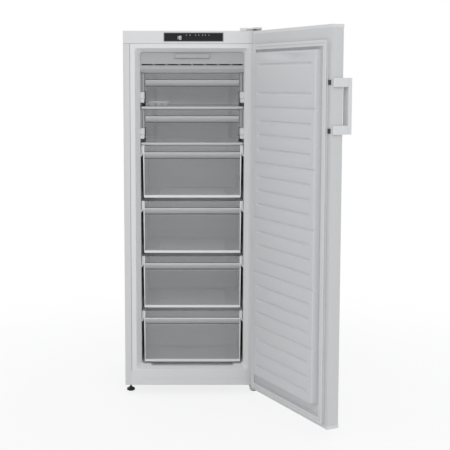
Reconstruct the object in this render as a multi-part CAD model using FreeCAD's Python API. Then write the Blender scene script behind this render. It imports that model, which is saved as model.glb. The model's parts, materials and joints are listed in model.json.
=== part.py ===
"""Upright no-frost freezer, door standing open: every piece a solid of its own, in millimetres.

Working frame: X to the right, Y into the cabinet, Z up from the floor, with Y = 0 on the cabinet's
front plane and X = 0 midway between its sides.  At the end everything moves together so that the
origin is the middle of the whole object's footprint, at floor level.
"""
import FreeCAD, Part
import os
from math import cos, radians, sin

V = FreeCAD.Vector
X_AXIS, Y_AXIS, Z_AXIS = V(1, 0, 0), V(0, 1, 0), V(0, 0, 1)

# ---- cabinet: driving dimensions -----------------------------------------------------------------
cabinet_width = 540.0
cabinet_depth = 533.0
floor_clearance = 39.5        # under the cabinet
floor_wall = 80.5             # insulated floor, under the lowest compartment
side_wall = 65.0              # insulated side walls
back_wall = 60.0
top_wall = 81.0               # insulated top, with the control strip in front of it
sheet = 0.8                   # painted steel sheet
liner_wall = 1.6              # vacuum-formed plastic
side_flange = 25.5            # side panel folded round the front
rebate_step = 19.0            # the mouth is this much wider than the inside, on each side
rebate_depth = 25.0
rebate_rise = 14.0            # the same step at the top
sill_drop = 16.0              # the same step at the sill
liner_lip = 4.0               # liner edge showing below the sill
corner_radius = 12.0
fit_gap = 0.3                 # running or resting gap between pieces
snap_gap = 0.2                # gap round a piece that is clipped in

# ---- what the inside holds, from the floor up ----------------------------------------------------
drawer_count = 4
drawer_floor_gap = 7.0
drawer_height = 209.0
drawer_gap = 14.5             # rim of one drawer up to the floor of the next
drawer_side_gap = 9.0         # between a drawer's side and the liner
drawer_wall = 2.4
drawer_draft = 3.0            # each side leans in this much from rim to floor
drawer_frame = 5.5            # tub edge showing beside the clear front
drawer_sill = 10.0            # tub edge showing below the clear front
drawer_travel = 300.0
lowest_drawer_travel = 180.0
runner_height = 35.0          # channel along each side of a drawer's rim
runner_width = 7.0
front_setback = 35.0          # drawer and flap fronts stand this far inside the cabinet front
floor_rib_pitch = 22.0
floor_rib_height = 1.4
floor_rib_width = 3.0
floor_rib_inset = 60.0        # rib's ends in from the drawer's sides
floor_rib_start = 30.0        # first rib behind the drawer's front
trim_height = 10.0            # front trim of a glass shelf
trim_depth = 12.0
glass = 4.0
flap_height = 130.5
flap_side_gap = 17.0
flap_pivot_height = 22.0      # flap's pivot above its lower edge
flap_pin_radius = 3.0
duct_lip_height = 28.0        # rounded lip under the ceiling cover's air slots
air_slot_height = 6.0
air_slots = 8                 # across the whole width of the ceiling cover
air_slot_web = 6.0            # plastic left between two slots
ceiling_cover_face = 47.0
cover_wall = 2.0

# ---- moulded clear fronts of drawers and flaps ---------------------------------------------------
front_wall = 2.4
grip_drop = 28.0              # top edge down to the grip
grip_depth = 9.0
grip_height = 21.0
fold_drop = 33.0              # grip's top down to the fold line
fold_depth = 1.5

# ---- cold side at the back, machine bay below it -------------------------------------------------
duct_depth = 43.0
duct_half_width = 155.0
duct_slope = 20.0
bay_depth = 190.0
bay_height = 230.0
bay_wall = 50.0               # insulation between the bay and the food space
sump_half_width = 161.0       # shallow channel in the floor, under the lowest drawer
sump_depth = 8.0
sump_front = 17.0
sump_length = 60.0

# ---- control strip -------------------------------------------------------------------------------
fascia_height = 51.0
fascia_depth = 34.0
fascia_wall = 2.5
display_width = 233.0
display_height = 35.0
display_offset = 5.5          # display's middle, to the right of the cabinet's
display_above = 9.0           # display above the strip's lower edge

# ---- plinth strip under the sill, rear feet ------------------------------------------------------
plinth_depth = 22.0
plinth_wall = 2.0
plinth_line_drop = 31.0       # fine line along the strip, below its top
plinth_line_height = 1.5
plinth_line_depth = 0.8
rear_foot_width = 36.0
rear_foot_length = 28.0
rear_foot_flare = 5.0         # wider than that under the cabinet, on each side

# ---- door ----------------------------------------------------------------------------------------
door_thickness = 50.0
door_gap = 12.0               # gasket's room between cabinet and door
door_bottom = 37.0
door_top_gap = 3.0            # door's top edge below the cabinet's
door_cap = 12.0
door_open_angle = 116.5       # as it stands in the model
hinge_inset = 11.0            # hinge axis in from the cabinet's side
hinge_forward = 21.3          # hinge axis in front of the door's inner face
hinge_pin_radius = 4.0
pin_gap = 0.05                # running gap of a pin in its bush
bush_wall = 3.0
bush_length = 18.0
plateau_height = 27.0
plateau_margin = 8.0          # plateau's foot inside the cabinet's mouth, at each side
plateau_draft = 7.0
gasket_width = 23.0
gasket_margin = 18.0          # gasket in from the door's side edges
gasket_top_margin = 52.0      # gasket below the door's top edge
gasket_bottom_margin = 15.0
groove_pitch = 53.0
groove_bays = 22
groove_height = 13.0
groove_depth = 3.5
groove_side = 4.0             # slope of a groove's sides, measured up the door
groove_top_drop = 56.0        # first groove below the plateau's top
short_groove_half = 182.0
recess_left = 192.0           # plain pressed panel above the grooves, from the door's free edge
recess_width = 151.0
recess_height = 19.0
recess_drop = 16.0            # below the plateau's top
recess_depth = 0.8

# ---- handle --------------------------------------------------------------------------------------
handle_reach = 31.0           # bar's front beyond the door's face
handle_bar_thickness = 15.0
handle_width = 34.0
handle_plate = 8.0            # arm standing off the door's edge
handle_arm_height = 31.0
handle_length = 194.0
handle_drop = 181.5           # top of the bar below the door's top edge
cap_width = 16.0
cap_height = 17.0

# ---- hinges, feet --------------------------------------------------------------------------------
bracket_plate = 3.0
screw_radius = 2.5
screw_length = 18.0
hinge_cover_height = 11.0
hinge_cover_width = 82.0
hinge_cover_back = 62.0       # cover's rear edge, behind the cabinet's front
seat_depth = 0.3              # pressed recess of the roof sheet under the hinge cover
foot_disc_radius = 16.5
foot_disc_height = 11.0
foot_disc_flats = 24          # knurled rim
nut_flats = 6                 # sides of a nut, a screw's head and a bored socket
foot_stud_radius = 4.0
foot_stud_length = 52.0
foot_inset_x = 18.0
foot_inset_y = 60.0
rear_foot_inset_x = 40.0
rear_foot_inset_y = 34.0

# ---- cooling machinery ---------------------------------------------------------------------------
compressor_radius = 72.0
compressor_height = 150.0
lid_rise = 26.0               # sloping shoulder of its lid
lid_slope = 30.0
compressor_offset = -70.0     # left of the middle, seen from the front
can_flats = 48                # flats that stand for its round side
motor_radius = 17.0           # fan motor's can
motor_flats = 24              # flats of the motor's can and the fan's hub
grommet_height = 12.0
fan_radius = 46.0
fan_hub_radius = 15.0
fan_blades = 5
fan_shaft_radius = 2.0
evaporator_width = 260.0
evaporator_height = 220.0
evaporator_depth = 26.0
evaporator_web = 12.0         # solid middle of the fin pack, where its tubes run
fin_count = 12
coil_rows = 3
tube_radius = 3.0
condenser_rows = 2
condenser_pitch = 180.0
condenser_cover = 1.0         # foam between the hot tube and the side's sheet
condenser_rise = 60.0         # lower bend above the machine bay
condenser_drop = 150.0        # upper bend below the roof
condenser_inset = 60.0        # rear run behind the bay's front
drain_radius = 6.0
drain_inset = 15.0            # drain pipe in front of the liner's back
foot_nut_radius = 9.0
foot_nut_height = 12.0
pan_half_width = 80.0         # drip tray on top of the compressor
pan_half_depth = 60.0
pan_height = 24.0
pan_wall = 2.0
trough_height = 18.0          # sloping trough under the coil
trough_wall = 2.2
trough_rim = 4.0
trough_drop = 6.0             # trough's rim under the heater
drain_reach = 30.0            # spout's end below the bay's roof

# ---- lamp and ice tray ---------------------------------------------------------------------------
lens_half = 69.0
lens_height = 18.0
lens_drop = 7.0               # lamp's top edge below the ceiling
tray_left = -173.0
tray_width = 78.0
tray_length = 160.0
tray_height = 20.0
tray_columns = 3
tray_rows = 6
tray_web = 3.0                # wall between two ice cells
tray_brim = 6.0               # rim above those walls

# ---- places worked out from those ----------------------------------------------------------------
half_width = cabinet_width / 2
inner_half = half_width - side_wall
mouth_half = inner_half + rebate_step
flange_half = half_width - side_flange
inner_back = cabinet_depth - back_wall
inner_bottom = floor_clearance + floor_wall
mouth_bottom = inner_bottom - sill_drop
drawer_pitch = drawer_height + drawer_gap
drawer_bottoms = [inner_bottom + drawer_floor_gap + drawer_pitch * i for i in range(drawer_count)]
drawer_top = drawer_bottoms[-1] + drawer_height
lower_shelf = drawer_top + 1.5 + trim_height              # top of each glass shelf
upper_shelf = lower_shelf + flap_height + 2.0 + trim_height
lip_bottom = upper_shelf + flap_height + 2.0
slot_bottom = lip_bottom + duct_lip_height
inner_top = slot_bottom + air_slot_height + ceiling_cover_face
mouth_top = inner_top + rebate_rise
cabinet_top = inner_top + top_wall
fascia_bottom = cabinet_top - fascia_height
duct_front = inner_back - duct_depth
bay_front = cabinet_depth - bay_depth
bay_top = floor_clearance + bay_height
step_front = bay_front - bay_wall
step_top = bay_top + bay_wall
door_top = cabinet_top - door_top_gap
handle_top = door_top - handle_drop
handle_bottom = handle_top - handle_length
door_inner = -door_gap
door_outer = door_inner - door_thickness
hinge_x = half_width - hinge_inset
hinge_y = door_inner - hinge_forward
foot_x = half_width - foot_inset_x
plate_top = cabinet_top + bracket_plate
drain_y = inner_back - drain_inset
base_top = floor_clearance + 1.2

nodes = {}


def box(x0, x1, y0, y1, z0, z1):
    return Part.makeBox(x1 - x0, y1 - y0, z1 - z0, V(x0, y0, z0))


def cylinder(radius, length, base, along=Z_AXIS):
    return Part.makeCylinder(radius, length, base, along)


def flatted_ring(radius, centre, flats):
    """Corners of a level ring of that many equal sides."""
    turns = [radians(360 * i / flats) for i in range(flats)]
    return [centre + V(radius * cos(turn), radius * sin(turn), 0) for turn in turns]


def flatted_bar(radius, length, base, flats, lying=False):
    """Round bar made of equal flats: upright, or lying along Y."""
    ring = flatted_ring(radius, V(0, 0, 0), flats)
    bar = Part.Face(Part.makePolygon(ring + ring[:1])).extrude(V(0, 0, length))
    if lying:
        bar.rotate(V(0, 0, 0), X_AXIS, -90)
    bar.translate(base)
    return bar


def hexagon(radius, length, base):
    return flatted_bar(radius, length, base, nut_flats)


def fused(shapes):
    whole = shapes[0].multiFuse(shapes[1:]) if len(shapes) > 1 else shapes[0]
    return whole.removeSplitter()


def prism_x(outline, x0, x1):
    """Closed outline of (y, z) points, drawn out along X."""
    points = [V(x0, y, z) for y, z in outline]
    face = Part.Face(Part.makePolygon(points + points[:1]))
    return face.extrude(V(x1 - x0, 0, 0))


def prism_y(outline, y0, y1):
    """Closed outline of (x, z) points, drawn out along Y."""
    points = [V(x, y0, z) for x, z in outline]
    face = Part.Face(Part.makePolygon(points + points[:1]))
    return face.extrude(V(0, y1 - y0, 0))


def prism_z(outline, z0, z1):
    """Closed outline of (x, y) points, drawn up along Z."""
    points = [V(x, y, z0) for x, y in outline]
    face = Part.Face(Part.makePolygon(points + points[:1]))
    return face.extrude(V(0, 0, z1 - z0))


def rounded_frame(half, z0, z1, y, radius):
    """Upright rounded rectangle of wire at depth y."""
    centres = ((half - radius, z1 - radius, 0), (radius - half, z1 - radius, 90),
               (radius - half, z0 + radius, 180), (half - radius, z0 + radius, 270))
    edges, last, first = [], None, None
    for cx, cz, start in centres:
        arc = [V(cx + radius * cos(radians(start + turn)), y, cz + radius * sin(radians(start + turn)))
               for turn in (0, 45, 90)]
        if last is not None:
            edges.append(Part.LineSegment(last, arc[0]).toShape())
        edges.append(Part.Arc(*arc).toShape())
        first = first or arc[0]
        last = arc[2]
    edges.append(Part.LineSegment(last, first).toShape())
    return Part.Wire(edges)


def mirrored(shape):
    """The same piece on the other side of the cabinet."""
    return shape.mirror(V(0, 0, 0), X_AXIS)


def mirrored_pair(shape):
    return Part.makeCompound([shape, mirrored(shape)])


def frustum(low, high):
    """Flat-sided solid between two rings of corners, counter-clockwise seen from the high one."""
    sides = [[a, b, d, c] for a, b, c, d in zip(low, low[1:] + low[:1], high, high[1:] + high[:1])]
    faces = [Part.Face(Part.makePolygon(ring + ring[:1])) for ring in [low[::-1], high] + sides]
    return Part.makeSolid(Part.makeShell(faces))


def level_ring(x0, x1, y0, y1, z):
    return [V(x0, y0, z), V(x1, y0, z), V(x1, y1, z), V(x0, y1, z)]


def tube_along(points, radius):
    """Round tube of straight runs, mitred where they meet."""
    ring = Part.Wire(Part.Circle(points[0], points[1] - points[0], radius).toShape())
    return Part.makePolygon(points).makePipeShell([ring], True, False, 1)


# ---- liner: the moulded food space ---------------------------------------------------------------
def food_space(grow):
    """Space inside the liner, with every wall moved outwards by grow."""
    radius = corner_radius + grow
    mouth = rounded_frame(mouth_half + grow, mouth_bottom - grow, mouth_top + grow, 0, radius)
    throat = rounded_frame(inner_half + grow, inner_bottom - grow, inner_top + grow,
                           rebate_depth, radius)
    rebate = Part.makeLoft([mouth, throat], True, True)
    room = Part.Face(throat).extrude(V(0, inner_back + grow - rebate_depth, 0))
    over_bay = box(-half_width, half_width, step_front + grow, cabinet_depth,
                   floor_clearance, step_top - grow)
    slope = sump_depth
    sump = prism_y([(-sump_half_width - slope - grow, inner_bottom + 1),
                    (sump_half_width + slope + grow, inner_bottom + 1),
                    (sump_half_width + grow, inner_bottom - sump_depth - grow),
                    (-sump_half_width - grow, inner_bottom - sump_depth - grow)],
                   sump_front - grow, sump_front + sump_length + grow)
    return fused([rebate, room, sump]).cut(over_bay)


def drawer_back(index):
    """Depth at which a drawer's rear wall ends: the lowest one stops short of the bay."""
    return (step_front if index == 0 else duct_front) - 12.0


def make_liner():
    flange = box(-flange_half, flange_half, 0, liner_wall, mouth_bottom - liner_lip, fascia_bottom)
    shell = fused([food_space(liner_wall), flange]).cut(food_space(0))
    root_x = inner_half + liner_wall / 2          # ribs start inside the wall they grow from
    ribs = []
    rail_reach = inner_half - drawer_side_gap + 2.0
    for index, bottom in enumerate(drawer_bottoms):
        rail_top = bottom + drawer_height - runner_height - fit_gap
        outline = [(root_x, rail_top - 12), (rail_reach, rail_top - 5),
                   (rail_reach, rail_top), (root_x, rail_top)]
        ribs.append(prism_y(outline, front_setback + 8, drawer_back(index) + 4))
    for shelf in (lower_shelf, upper_shelf):
        ledge_top = shelf - glass
        outline = [(root_x, ledge_top - 5), (inner_half - 8, ledge_top - 3),
                   (inner_half - 8, ledge_top), (root_x, ledge_top)]
        ribs.append(prism_y(outline, front_setback + 8, duct_front - 6))
    both = [side for rib in ribs for side in (rib, mirrored(rib))]
    drain = cylinder(drain_radius + snap_gap, bay_wall * 2, V(0, drain_y, step_top - bay_wall))
    return fused([shell] + both).cut(drain)


nodes["inner_liner"] = make_liner()


# ---- steel skins, foam ---------------------------------------------------------------------------
def make_side_panel():
    """Right-hand side: wall folded round the front and a little way round the back."""
    back_fold = 12.0
    outline = [(half_width, 0), (half_width, cabinet_depth),
               (half_width - back_fold, cabinet_depth),
               (half_width - back_fold, cabinet_depth - sheet),
               (half_width - sheet, cabinet_depth - sheet),
               (half_width - sheet, sheet), (flange_half, sheet), (flange_half, 0)]
    panel = prism_z(outline, floor_clearance, cabinet_top - sheet)
    return panel.cut(box(0, half_width + 1, -1, fascia_depth, fascia_bottom, cabinet_top))


nodes["side_panel_right"] = make_side_panel()
nodes["side_panel_left"] = mirrored(nodes["side_panel_right"])
nodes["top_panel"] = box(-half_width, half_width, fascia_depth, cabinet_depth,
                         cabinet_top - sheet, cabinet_top).cut(
    box(half_width - hinge_cover_width - 2, half_width + 1, fascia_depth - 1, hinge_cover_back + 2,
        cabinet_top - seat_depth, cabinet_top + 1))
nodes["rear_panel"] = box(-half_width + 12.0, half_width - 12.0, cabinet_depth - sheet,
                          cabinet_depth, bay_top - sheet, cabinet_top - sheet)
nodes["base_pan"] = box(-half_width + sheet, half_width - sheet, liner_wall, bay_front,
                        floor_clearance, base_top)
nodes["machine_bay_wall"] = prism_x(
    [(bay_front, floor_clearance), (bay_front, bay_top), (cabinet_depth - sheet, bay_top),
     (cabinet_depth - sheet, bay_top - sheet), (bay_front + sheet, bay_top - sheet),
     (bay_front + sheet, floor_clearance)], -half_width + sheet, half_width - sheet).cut(
    cylinder(drain_radius + snap_gap, 2 * bay_wall, V(0, drain_y, bay_top - bay_wall)))

trim_top = mouth_bottom - liner_lip
trim_shell = box(-flange_half, flange_half, 0, plinth_depth, floor_clearance, trim_top)
trim_room = box(plinth_wall - flange_half, flange_half - plinth_wall, plinth_wall, plinth_depth + 8,
                base_top, trim_top - plinth_wall)
line_top = trim_top - plinth_line_drop
trim_line = box(-flange_half, flange_half, -1, plinth_line_depth, line_top - plinth_line_height, line_top)
nodes["bottom_trim"] = trim_shell.cut(trim_room).cut(trim_line).cut(nodes["base_pan"])


coil_x = half_width - sheet - condenser_cover - tube_radius
coil_low, coil_high = bay_top + condenser_rise, cabinet_top - condenser_drop
coil_route = []
for row in range(condenser_rows):
    run_y = bay_front + condenser_inset - row * condenser_pitch
    run_ends = (coil_low, coil_high) if row % 2 == 0 else (coil_high, coil_low)
    coil_route += [V(coil_x, run_y, z) for z in run_ends]
nodes["condenser_coils"] = mirrored_pair(tube_along(coil_route, tube_radius))

channel = tube_radius + fit_gap               # half width of the way left for the tube in the foam
coil_channel = fused([box(coil_x - channel, coil_x + channel, min(a.y, b.y) - channel,
                          max(a.y, b.y) + channel, min(a.z, b.z) - channel, max(a.z, b.z) + channel)
                      for a, b in zip(coil_route, coil_route[1:])])


def make_cabinet_foam():
    block = box(-half_width + sheet, half_width - sheet, liner_wall, cabinet_depth - sheet,
                base_top, cabinet_top - sheet)
    hollows = [food_space(liner_wall),
               box(-half_width, half_width, bay_front, cabinet_depth, floor_clearance, bay_top),
               box(-half_width, half_width, -1, fascia_depth, fascia_bottom, cabinet_top),
               box(-flange_half - snap_gap, flange_half + snap_gap, -1, plinth_depth, floor_clearance,
                   trim_top),
               cylinder(drain_radius + snap_gap, bay_wall * 2, V(0, drain_y, bay_top - 1)),
               coil_channel, mirrored(coil_channel)]
    hollows += [hexagon(foot_nut_radius, foot_stud_length, V(side * foot_x, foot_inset_y, 0))
                for side in (-1, 1)]
    hollows.append(box(half_width - 80, half_width - sheet - 4, 38, 54, plate_top - screw_length - 2,
                       cabinet_top))
    for hollow in hollows:
        block = block.cut(hollow)
    return block


nodes["cabinet_foam"] = make_cabinet_foam()

# ---- control strip across the top ----------------------------------------------------------------
strip = box(-half_width, half_width, 0, fascia_depth, fascia_bottom, cabinet_top)
strip_room = box(-half_width + fascia_wall, half_width - fascia_wall, fascia_wall,
                 fascia_depth + 1, fascia_bottom + fascia_wall, cabinet_top - fascia_wall)
window = (display_offset - display_width / 2, display_offset + display_width / 2)
window_bottom = fascia_bottom + display_above
window_top = window_bottom + display_height
window_hole = box(window[0], window[1], -1, fascia_wall + 1, window_bottom, window_top)
nodes["control_fascia"] = strip.cut(strip_room).cut(window_hole)
lens_depth = 2.0
pane = box(window[0] + snap_gap, window[1] - snap_gap, 0.6, 0.6 + lens_depth,
           window_bottom + snap_gap, window_top - snap_gap)
pane_tabs = [box(x - 6, x + 6, fascia_wall, fascia_wall + 1.6, z0, z0 + 5)
             for x in (window[0] + 30, display_offset, window[1] - 30)
             for z0 in (window_bottom - 4, window_top - 1)]
nodes["display_window"] = fused([pane] + pane_tabs)
board_front = 0.6 + lens_depth + 4.0
board = box(window[0] + 8, window[1] - 8, board_front, board_front + 1.6,
            window_bottom + 3, window_top - 3)
digit_block = box(display_offset - 67, display_offset - 46, 0.6 + lens_depth, board_front + 0.4,
                  window_bottom + 8, window_bottom + 26)
lamps = [box(display_offset + x - 1.5, display_offset + x + 1.5, 0.6 + lens_depth,
             board_front + 0.4, window_bottom + 19, window_bottom + 22)
         for x in (-27, -13, 8, 21, 34, 47, 60)]
nodes["control_board"] = fused([board, digit_block] + lamps)


# ---- clear moulded fronts ------------------------------------------------------------------------
def moulded_front(half, bottom, top, face):
    """Panel with a lip at the top, a rolled grip below it and a small fold under the grip."""
    grip_top = top - grip_drop
    outer = [V(-half, face + y, z) for y, z in (
        (0, top), (0, grip_top), (-grip_depth * 0.7, grip_top - grip_height * 0.2),
        (-grip_depth, grip_top - grip_height * 0.5),
        (-grip_depth * 0.7, grip_top - grip_height * 0.8), (0, grip_top - grip_height - 4),
        (0, grip_top - fold_drop), (fold_depth, grip_top - fold_drop - 2),
        (fold_depth, bottom))]
    inner = [point + V(0, front_wall, 0) for point in outer]

    def side(points):
        return [Part.LineSegment(points[0], points[1]).toShape(),
                Part.LineSegment(points[1], points[2]).toShape(),
                Part.Arc(points[2], points[3], points[4]).toShape()] + [
                Part.LineSegment(a, b).toShape() for a, b in zip(points[4:], points[5:])]

    ends = [Part.LineSegment(outer[0], inner[0]).toShape(),
            Part.LineSegment(outer[-1], inner[-1]).toShape()]
    outline = Part.Wire(Part.__sortEdges__(side(outer) + side(inner) + ends))
    return Part.Face(outline).extrude(V(2 * half, 0, 0))


# ---- drawers -------------------------------------------------------------------------------------
tub_half = inner_half - drawer_side_gap
tub_front = front_setback


def make_tub(index):
    bottom, back = drawer_bottoms[index], drawer_back(index)
    top = bottom + drawer_height

    def tapered(inset, floor, front_inset):
        front, low_half, low_back = tub_front + front_inset, tub_half - drawer_draft, back - drawer_draft
        return frustum(level_ring(inset - low_half, low_half - inset, front, low_back - inset,
                                  bottom + floor),
                       level_ring(inset - tub_half, tub_half - inset, front, back - inset, top))

    body = tapered(0, 0, 0).cut(tapered(drawer_wall, drawer_wall, drawer_wall + fold_depth + 2.5))
    opening = box(-tub_half + drawer_frame, tub_half - drawer_frame, tub_front - 1,
                  tub_front + drawer_wall + fold_depth + 4, bottom + drawer_sill, top + 1)
    runner = box(tub_half - drawer_wall, tub_half + runner_width, tub_front + 6, back,
                 top - runner_height, top)
    runner_room = box(tub_half, tub_half + runner_width - drawer_wall, tub_front + 6 + drawer_wall,
                      back + 1, top - runner_height - 1, top - drawer_wall)
    inside = tapered(drawer_wall, drawer_wall, drawer_wall + fold_depth + 2.5)
    runner = runner.cut(runner_room).cut(inside)
    rib_count = int((back - tub_front - 2 * floor_rib_start) / floor_rib_pitch)
    rib_fronts = [tub_front + floor_rib_start + floor_rib_pitch * i for i in range(rib_count)]
    ribs = [box(-tub_half + floor_rib_inset, tub_half - floor_rib_inset, y, y + floor_rib_width,
                bottom + drawer_wall - 0.5, bottom + drawer_wall + floor_rib_height)
            for y in rib_fronts]
    return fused([body.cut(opening), runner, mirrored(runner)] + ribs)


for index in range(drawer_count):
    number = drawer_count - index                 # drawer 1 is the top one
    low = drawer_bottoms[index]
    nodes["drawer_%d_tub" % number] = make_tub(index)
    nodes["drawer_%d_front" % number] = moulded_front(
        tub_half - drawer_frame - snap_gap, low + drawer_sill + snap_gap, low + drawer_height,
        tub_front + 0.5)

# ---- glass shelves, their trims, the flaps in front of them --------------------------------------
shelf_half = inner_half - 1.5
trim_front = front_setback - 5
slab_front = trim_front + trim_depth
shelf_slabs, shelf_trims = [], []
for shelf in (lower_shelf, upper_shelf):
    slab = box(-shelf_half, shelf_half, slab_front, duct_front - 3, shelf - glass, shelf)
    tongue = box(-shelf_half + 4, shelf_half - 4, trim_front + 4, slab_front, shelf - glass, shelf)
    rail = prism_x([(trim_front, shelf - trim_height + 2), (trim_front + 2, shelf - trim_height),
                    (trim_front + trim_depth, shelf - trim_height),
                    (trim_front + trim_depth, shelf - glass), (trim_front + 4, shelf - glass),
                    (trim_front + 4, shelf), (trim_front + 1, shelf), (trim_front, shelf - 1)],
                   -shelf_half + 4, shelf_half - 4)
    shelf_slabs.append(fused([slab, tongue]))
    shelf_trims.append(rail)
nodes["glass_shelves"] = Part.makeCompound(shelf_slabs)
nodes["shelf_trims"] = Part.makeCompound(shelf_trims)

flap_half = inner_half - flap_side_gap
flap_face = front_setback + 1
pivot_y = flap_face + fold_depth + front_wall / 2
block_inner = flap_half + 1.5
blocks = []
for name, shelf in (("flap_lower", lower_shelf), ("flap_upper", upper_shelf)):
    flap_bottom = shelf + 1.0
    pivot = V(0, pivot_y, flap_bottom + flap_pivot_height)
    panel = moulded_front(flap_half, flap_bottom, flap_bottom + flap_height, flap_face)
    pin = cylinder(flap_pin_radius, 19, pivot + V(flap_half - 10, 0, 0), X_AXIS)
    nodes[name] = fused([panel, pin, mirrored(pin)])
    strip_top = flap_bottom + flap_height - 1
    block = prism_x([(24, pivot.z - 8), (56, pivot.z - 8), (56, strip_top), (46, strip_top),
                     (46, pivot.z + 38), (30, pivot.z + 38), (24, pivot.z + 30)],
                    block_inner, inner_half - snap_gap)
    recess = box(block_inner - 1, block_inner + 6, 20, 60, pivot.z + 38, strip_top + 1)
    hole = cylinder(flap_pin_radius + pin_gap, 12, pivot + V(block_inner - 1, 0, 0), X_AXIS)
    block = block.cut(recess).cut(hole)
    blocks += [block, mirrored(block)]
nodes["flap_hinge_blocks"] = Part.makeCompound(blocks)


# ---- ice tray on the upper shelf -----------------------------------------------------------------
tray_front = front_setback + 40


def make_ice_tray():
    z0 = upper_shelf + fit_gap
    cell_top = z0 + tray_height - tray_brim
    shell = box(tray_left, tray_left + tray_width, tray_front, tray_front + tray_length,
                z0, z0 + tray_height)
    brim_room = box(tray_left + 2, tray_left + tray_width - 2, tray_front + 2,
                    tray_front + tray_length - 2, cell_top, z0 + tray_height + 1)
    shell = shell.cut(brim_room)
    cell_x = (tray_width - tray_web) / tray_columns
    cell_y = (tray_length - tray_web) / tray_rows
    for column in range(tray_columns):
        for row in range(tray_rows):
            x0 = tray_left + tray_web + column * cell_x
            y0 = tray_front + tray_web + row * cell_y
            x1, y1 = x0 + cell_x - tray_web, y0 + cell_y - tray_web
            shell = shell.cut(frustum(level_ring(x0 + 3, x1 - 3, y0 + 3, y1 - 3, z0 + 2),
                                      level_ring(x0, x1, y0, y1, cell_top)))
    return shell


nodes["ice_tray"] = make_ice_tray()


# ---- air ducts -----------------------------------------------------------------------------------
def make_ceiling_cover():
    """Sloping front under the ceiling with the lamp, a row of air slots and a rounded lip."""
    y = front_setback - 5
    outer = [(y, inner_top), (y - 3, slot_bottom), (y - 6, slot_bottom - 3),
             (y - 6, lip_bottom + duct_lip_height * 0.5), (y + 3, lip_bottom),
             (duct_front - 2, lip_bottom)]
    back = [(duct_front - 2, lip_bottom + cover_wall), (y + 3 + cover_wall, lip_bottom + cover_wall),
            (y - 6 + cover_wall * 1.2, lip_bottom + duct_lip_height * 0.5 + 1),
            (y - 6 + cover_wall * 1.2, slot_bottom - 3), (y - 3 + cover_wall * 1.2, slot_bottom),
            (y + cover_wall * 1.2, inner_top)]
    cover = prism_x(outer + back, -inner_half, inner_half).common(food_space(-snap_gap))
    pitch = (2 * inner_half - air_slot_web) / air_slots
    for i in range(air_slots):
        left = air_slot_web - inner_half + pitch * i
        cover = cover.cut(box(left, left + pitch - air_slot_web, y - 8, y + 6, slot_bottom + 1,
                              slot_bottom + air_slot_height))
    return cover.cut(box(-lens_half, lens_half, y - 8, y + 6, inner_top - lens_drop - lens_height,
                         inner_top - lens_drop))


nodes["ceiling_duct_cover"] = make_ceiling_cover()
lens_y = front_setback - 5
lens_top = inner_top - lens_drop - snap_gap
lens_bottom = inner_top - lens_drop - lens_height + snap_gap
nodes["lamp_lens"] = prism_x([(lens_y + 5, lens_bottom), (lens_y + 5, lens_top),
                              (lens_y - 5, lens_top), (lens_y - 8, lens_bottom + 4),
                              (lens_y - 8, lens_bottom)], -lens_half + snap_gap,
                             lens_half - snap_gap)

duct_bottom = step_top + 8.0
fan_z = lower_shelf + 40.0
outlet_z = upper_shelf + 24.0


def make_rear_duct():
    """Cover over the evaporator and fan: flat front, sloping sides, air outlets behind each space."""
    reach = duct_half_width + duct_slope
    outline = [(-reach, inner_back), (-duct_half_width, duct_front),
               (duct_half_width, duct_front), (reach, inner_back),
               (reach - cover_wall * 1.3, inner_back),
               (duct_half_width - cover_wall * 0.6, duct_front + cover_wall),
               (-duct_half_width + cover_wall * 0.6, duct_front + cover_wall),
               (-reach + cover_wall * 1.3, inner_back)]
    cover = prism_z(outline, duct_bottom, lip_bottom + 20)
    openings = [(-82, -40, outlet_z, 4), (40, 82, outlet_z, 4)]
    openings += [(x - 4, x + 4, outlet_z + 12, 5) for x in (-32, -16, 0, 16, 32)]
    for bottom in drawer_bottoms[1:]:
        openings += [(x - 26, x + 26, bottom + drawer_height - 26, 6) for x in (-90, 0, 90)]
    for x0, x1, z, height in openings:
        cover = cover.cut(box(x0, x1, duct_front - 1, duct_front + cover_wall + 1, z, z + height))
    return cover


nodes["rear_duct_cover"] = make_rear_duct()

# ---- evaporator, heater, fan, drain --------------------------------------------------------------
coil_y = (duct_front + cover_wall + inner_back) / 2
coil_bottom = step_top + 90.0


def make_evaporator():
    """Pack of upright fins on a row of tubes, with return bends and end plates beyond the fins."""
    fin_half, pitch, fin = evaporator_width / 2, evaporator_width / (fin_count - 1), 1.2
    front, back = coil_y - evaporator_depth / 2, coil_y + evaporator_depth / 2
    web = (coil_y - evaporator_web / 2, coil_y + evaporator_web / 2)
    pack = box(-fin_half - fin / 2, fin_half + fin / 2, front, back, coil_bottom,
               coil_bottom + evaporator_height)
    for i in range(fin_count - 1):
        x0, x1 = -fin_half + pitch * i + fin / 2, -fin_half + pitch * (i + 1) - fin / 2
        for y0, y1 in ((front - 1, web[0]), (web[1], back + 1)):
            pack = pack.cut(box(x0, x1, y0, y1, coil_bottom - 1, coil_bottom + evaporator_height + 1))
    end_plates = [box(side * fin_half - fin / 2, side * fin_half + fin / 2, coil_y, inner_back - fit_gap,
                      coil_bottom, coil_bottom + evaporator_height) for side in (-1, 1)]
    rise = evaporator_height / coil_rows
    bends = []
    for row in range(coil_rows - 1):
        side = 1 if row % 2 == 0 else -1
        z = coil_bottom + rise * (row + 0.5)
        bends.append(tube_along([V(side * (fin_half - 2), coil_y, z), V(side * (fin_half + 12), coil_y, z),
                                 V(side * (fin_half + 12), coil_y, z + rise),
                                 V(side * (fin_half - 2), coil_y, z + rise)], tube_radius + 1))
    return fused([pack] + end_plates + bends)


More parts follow.
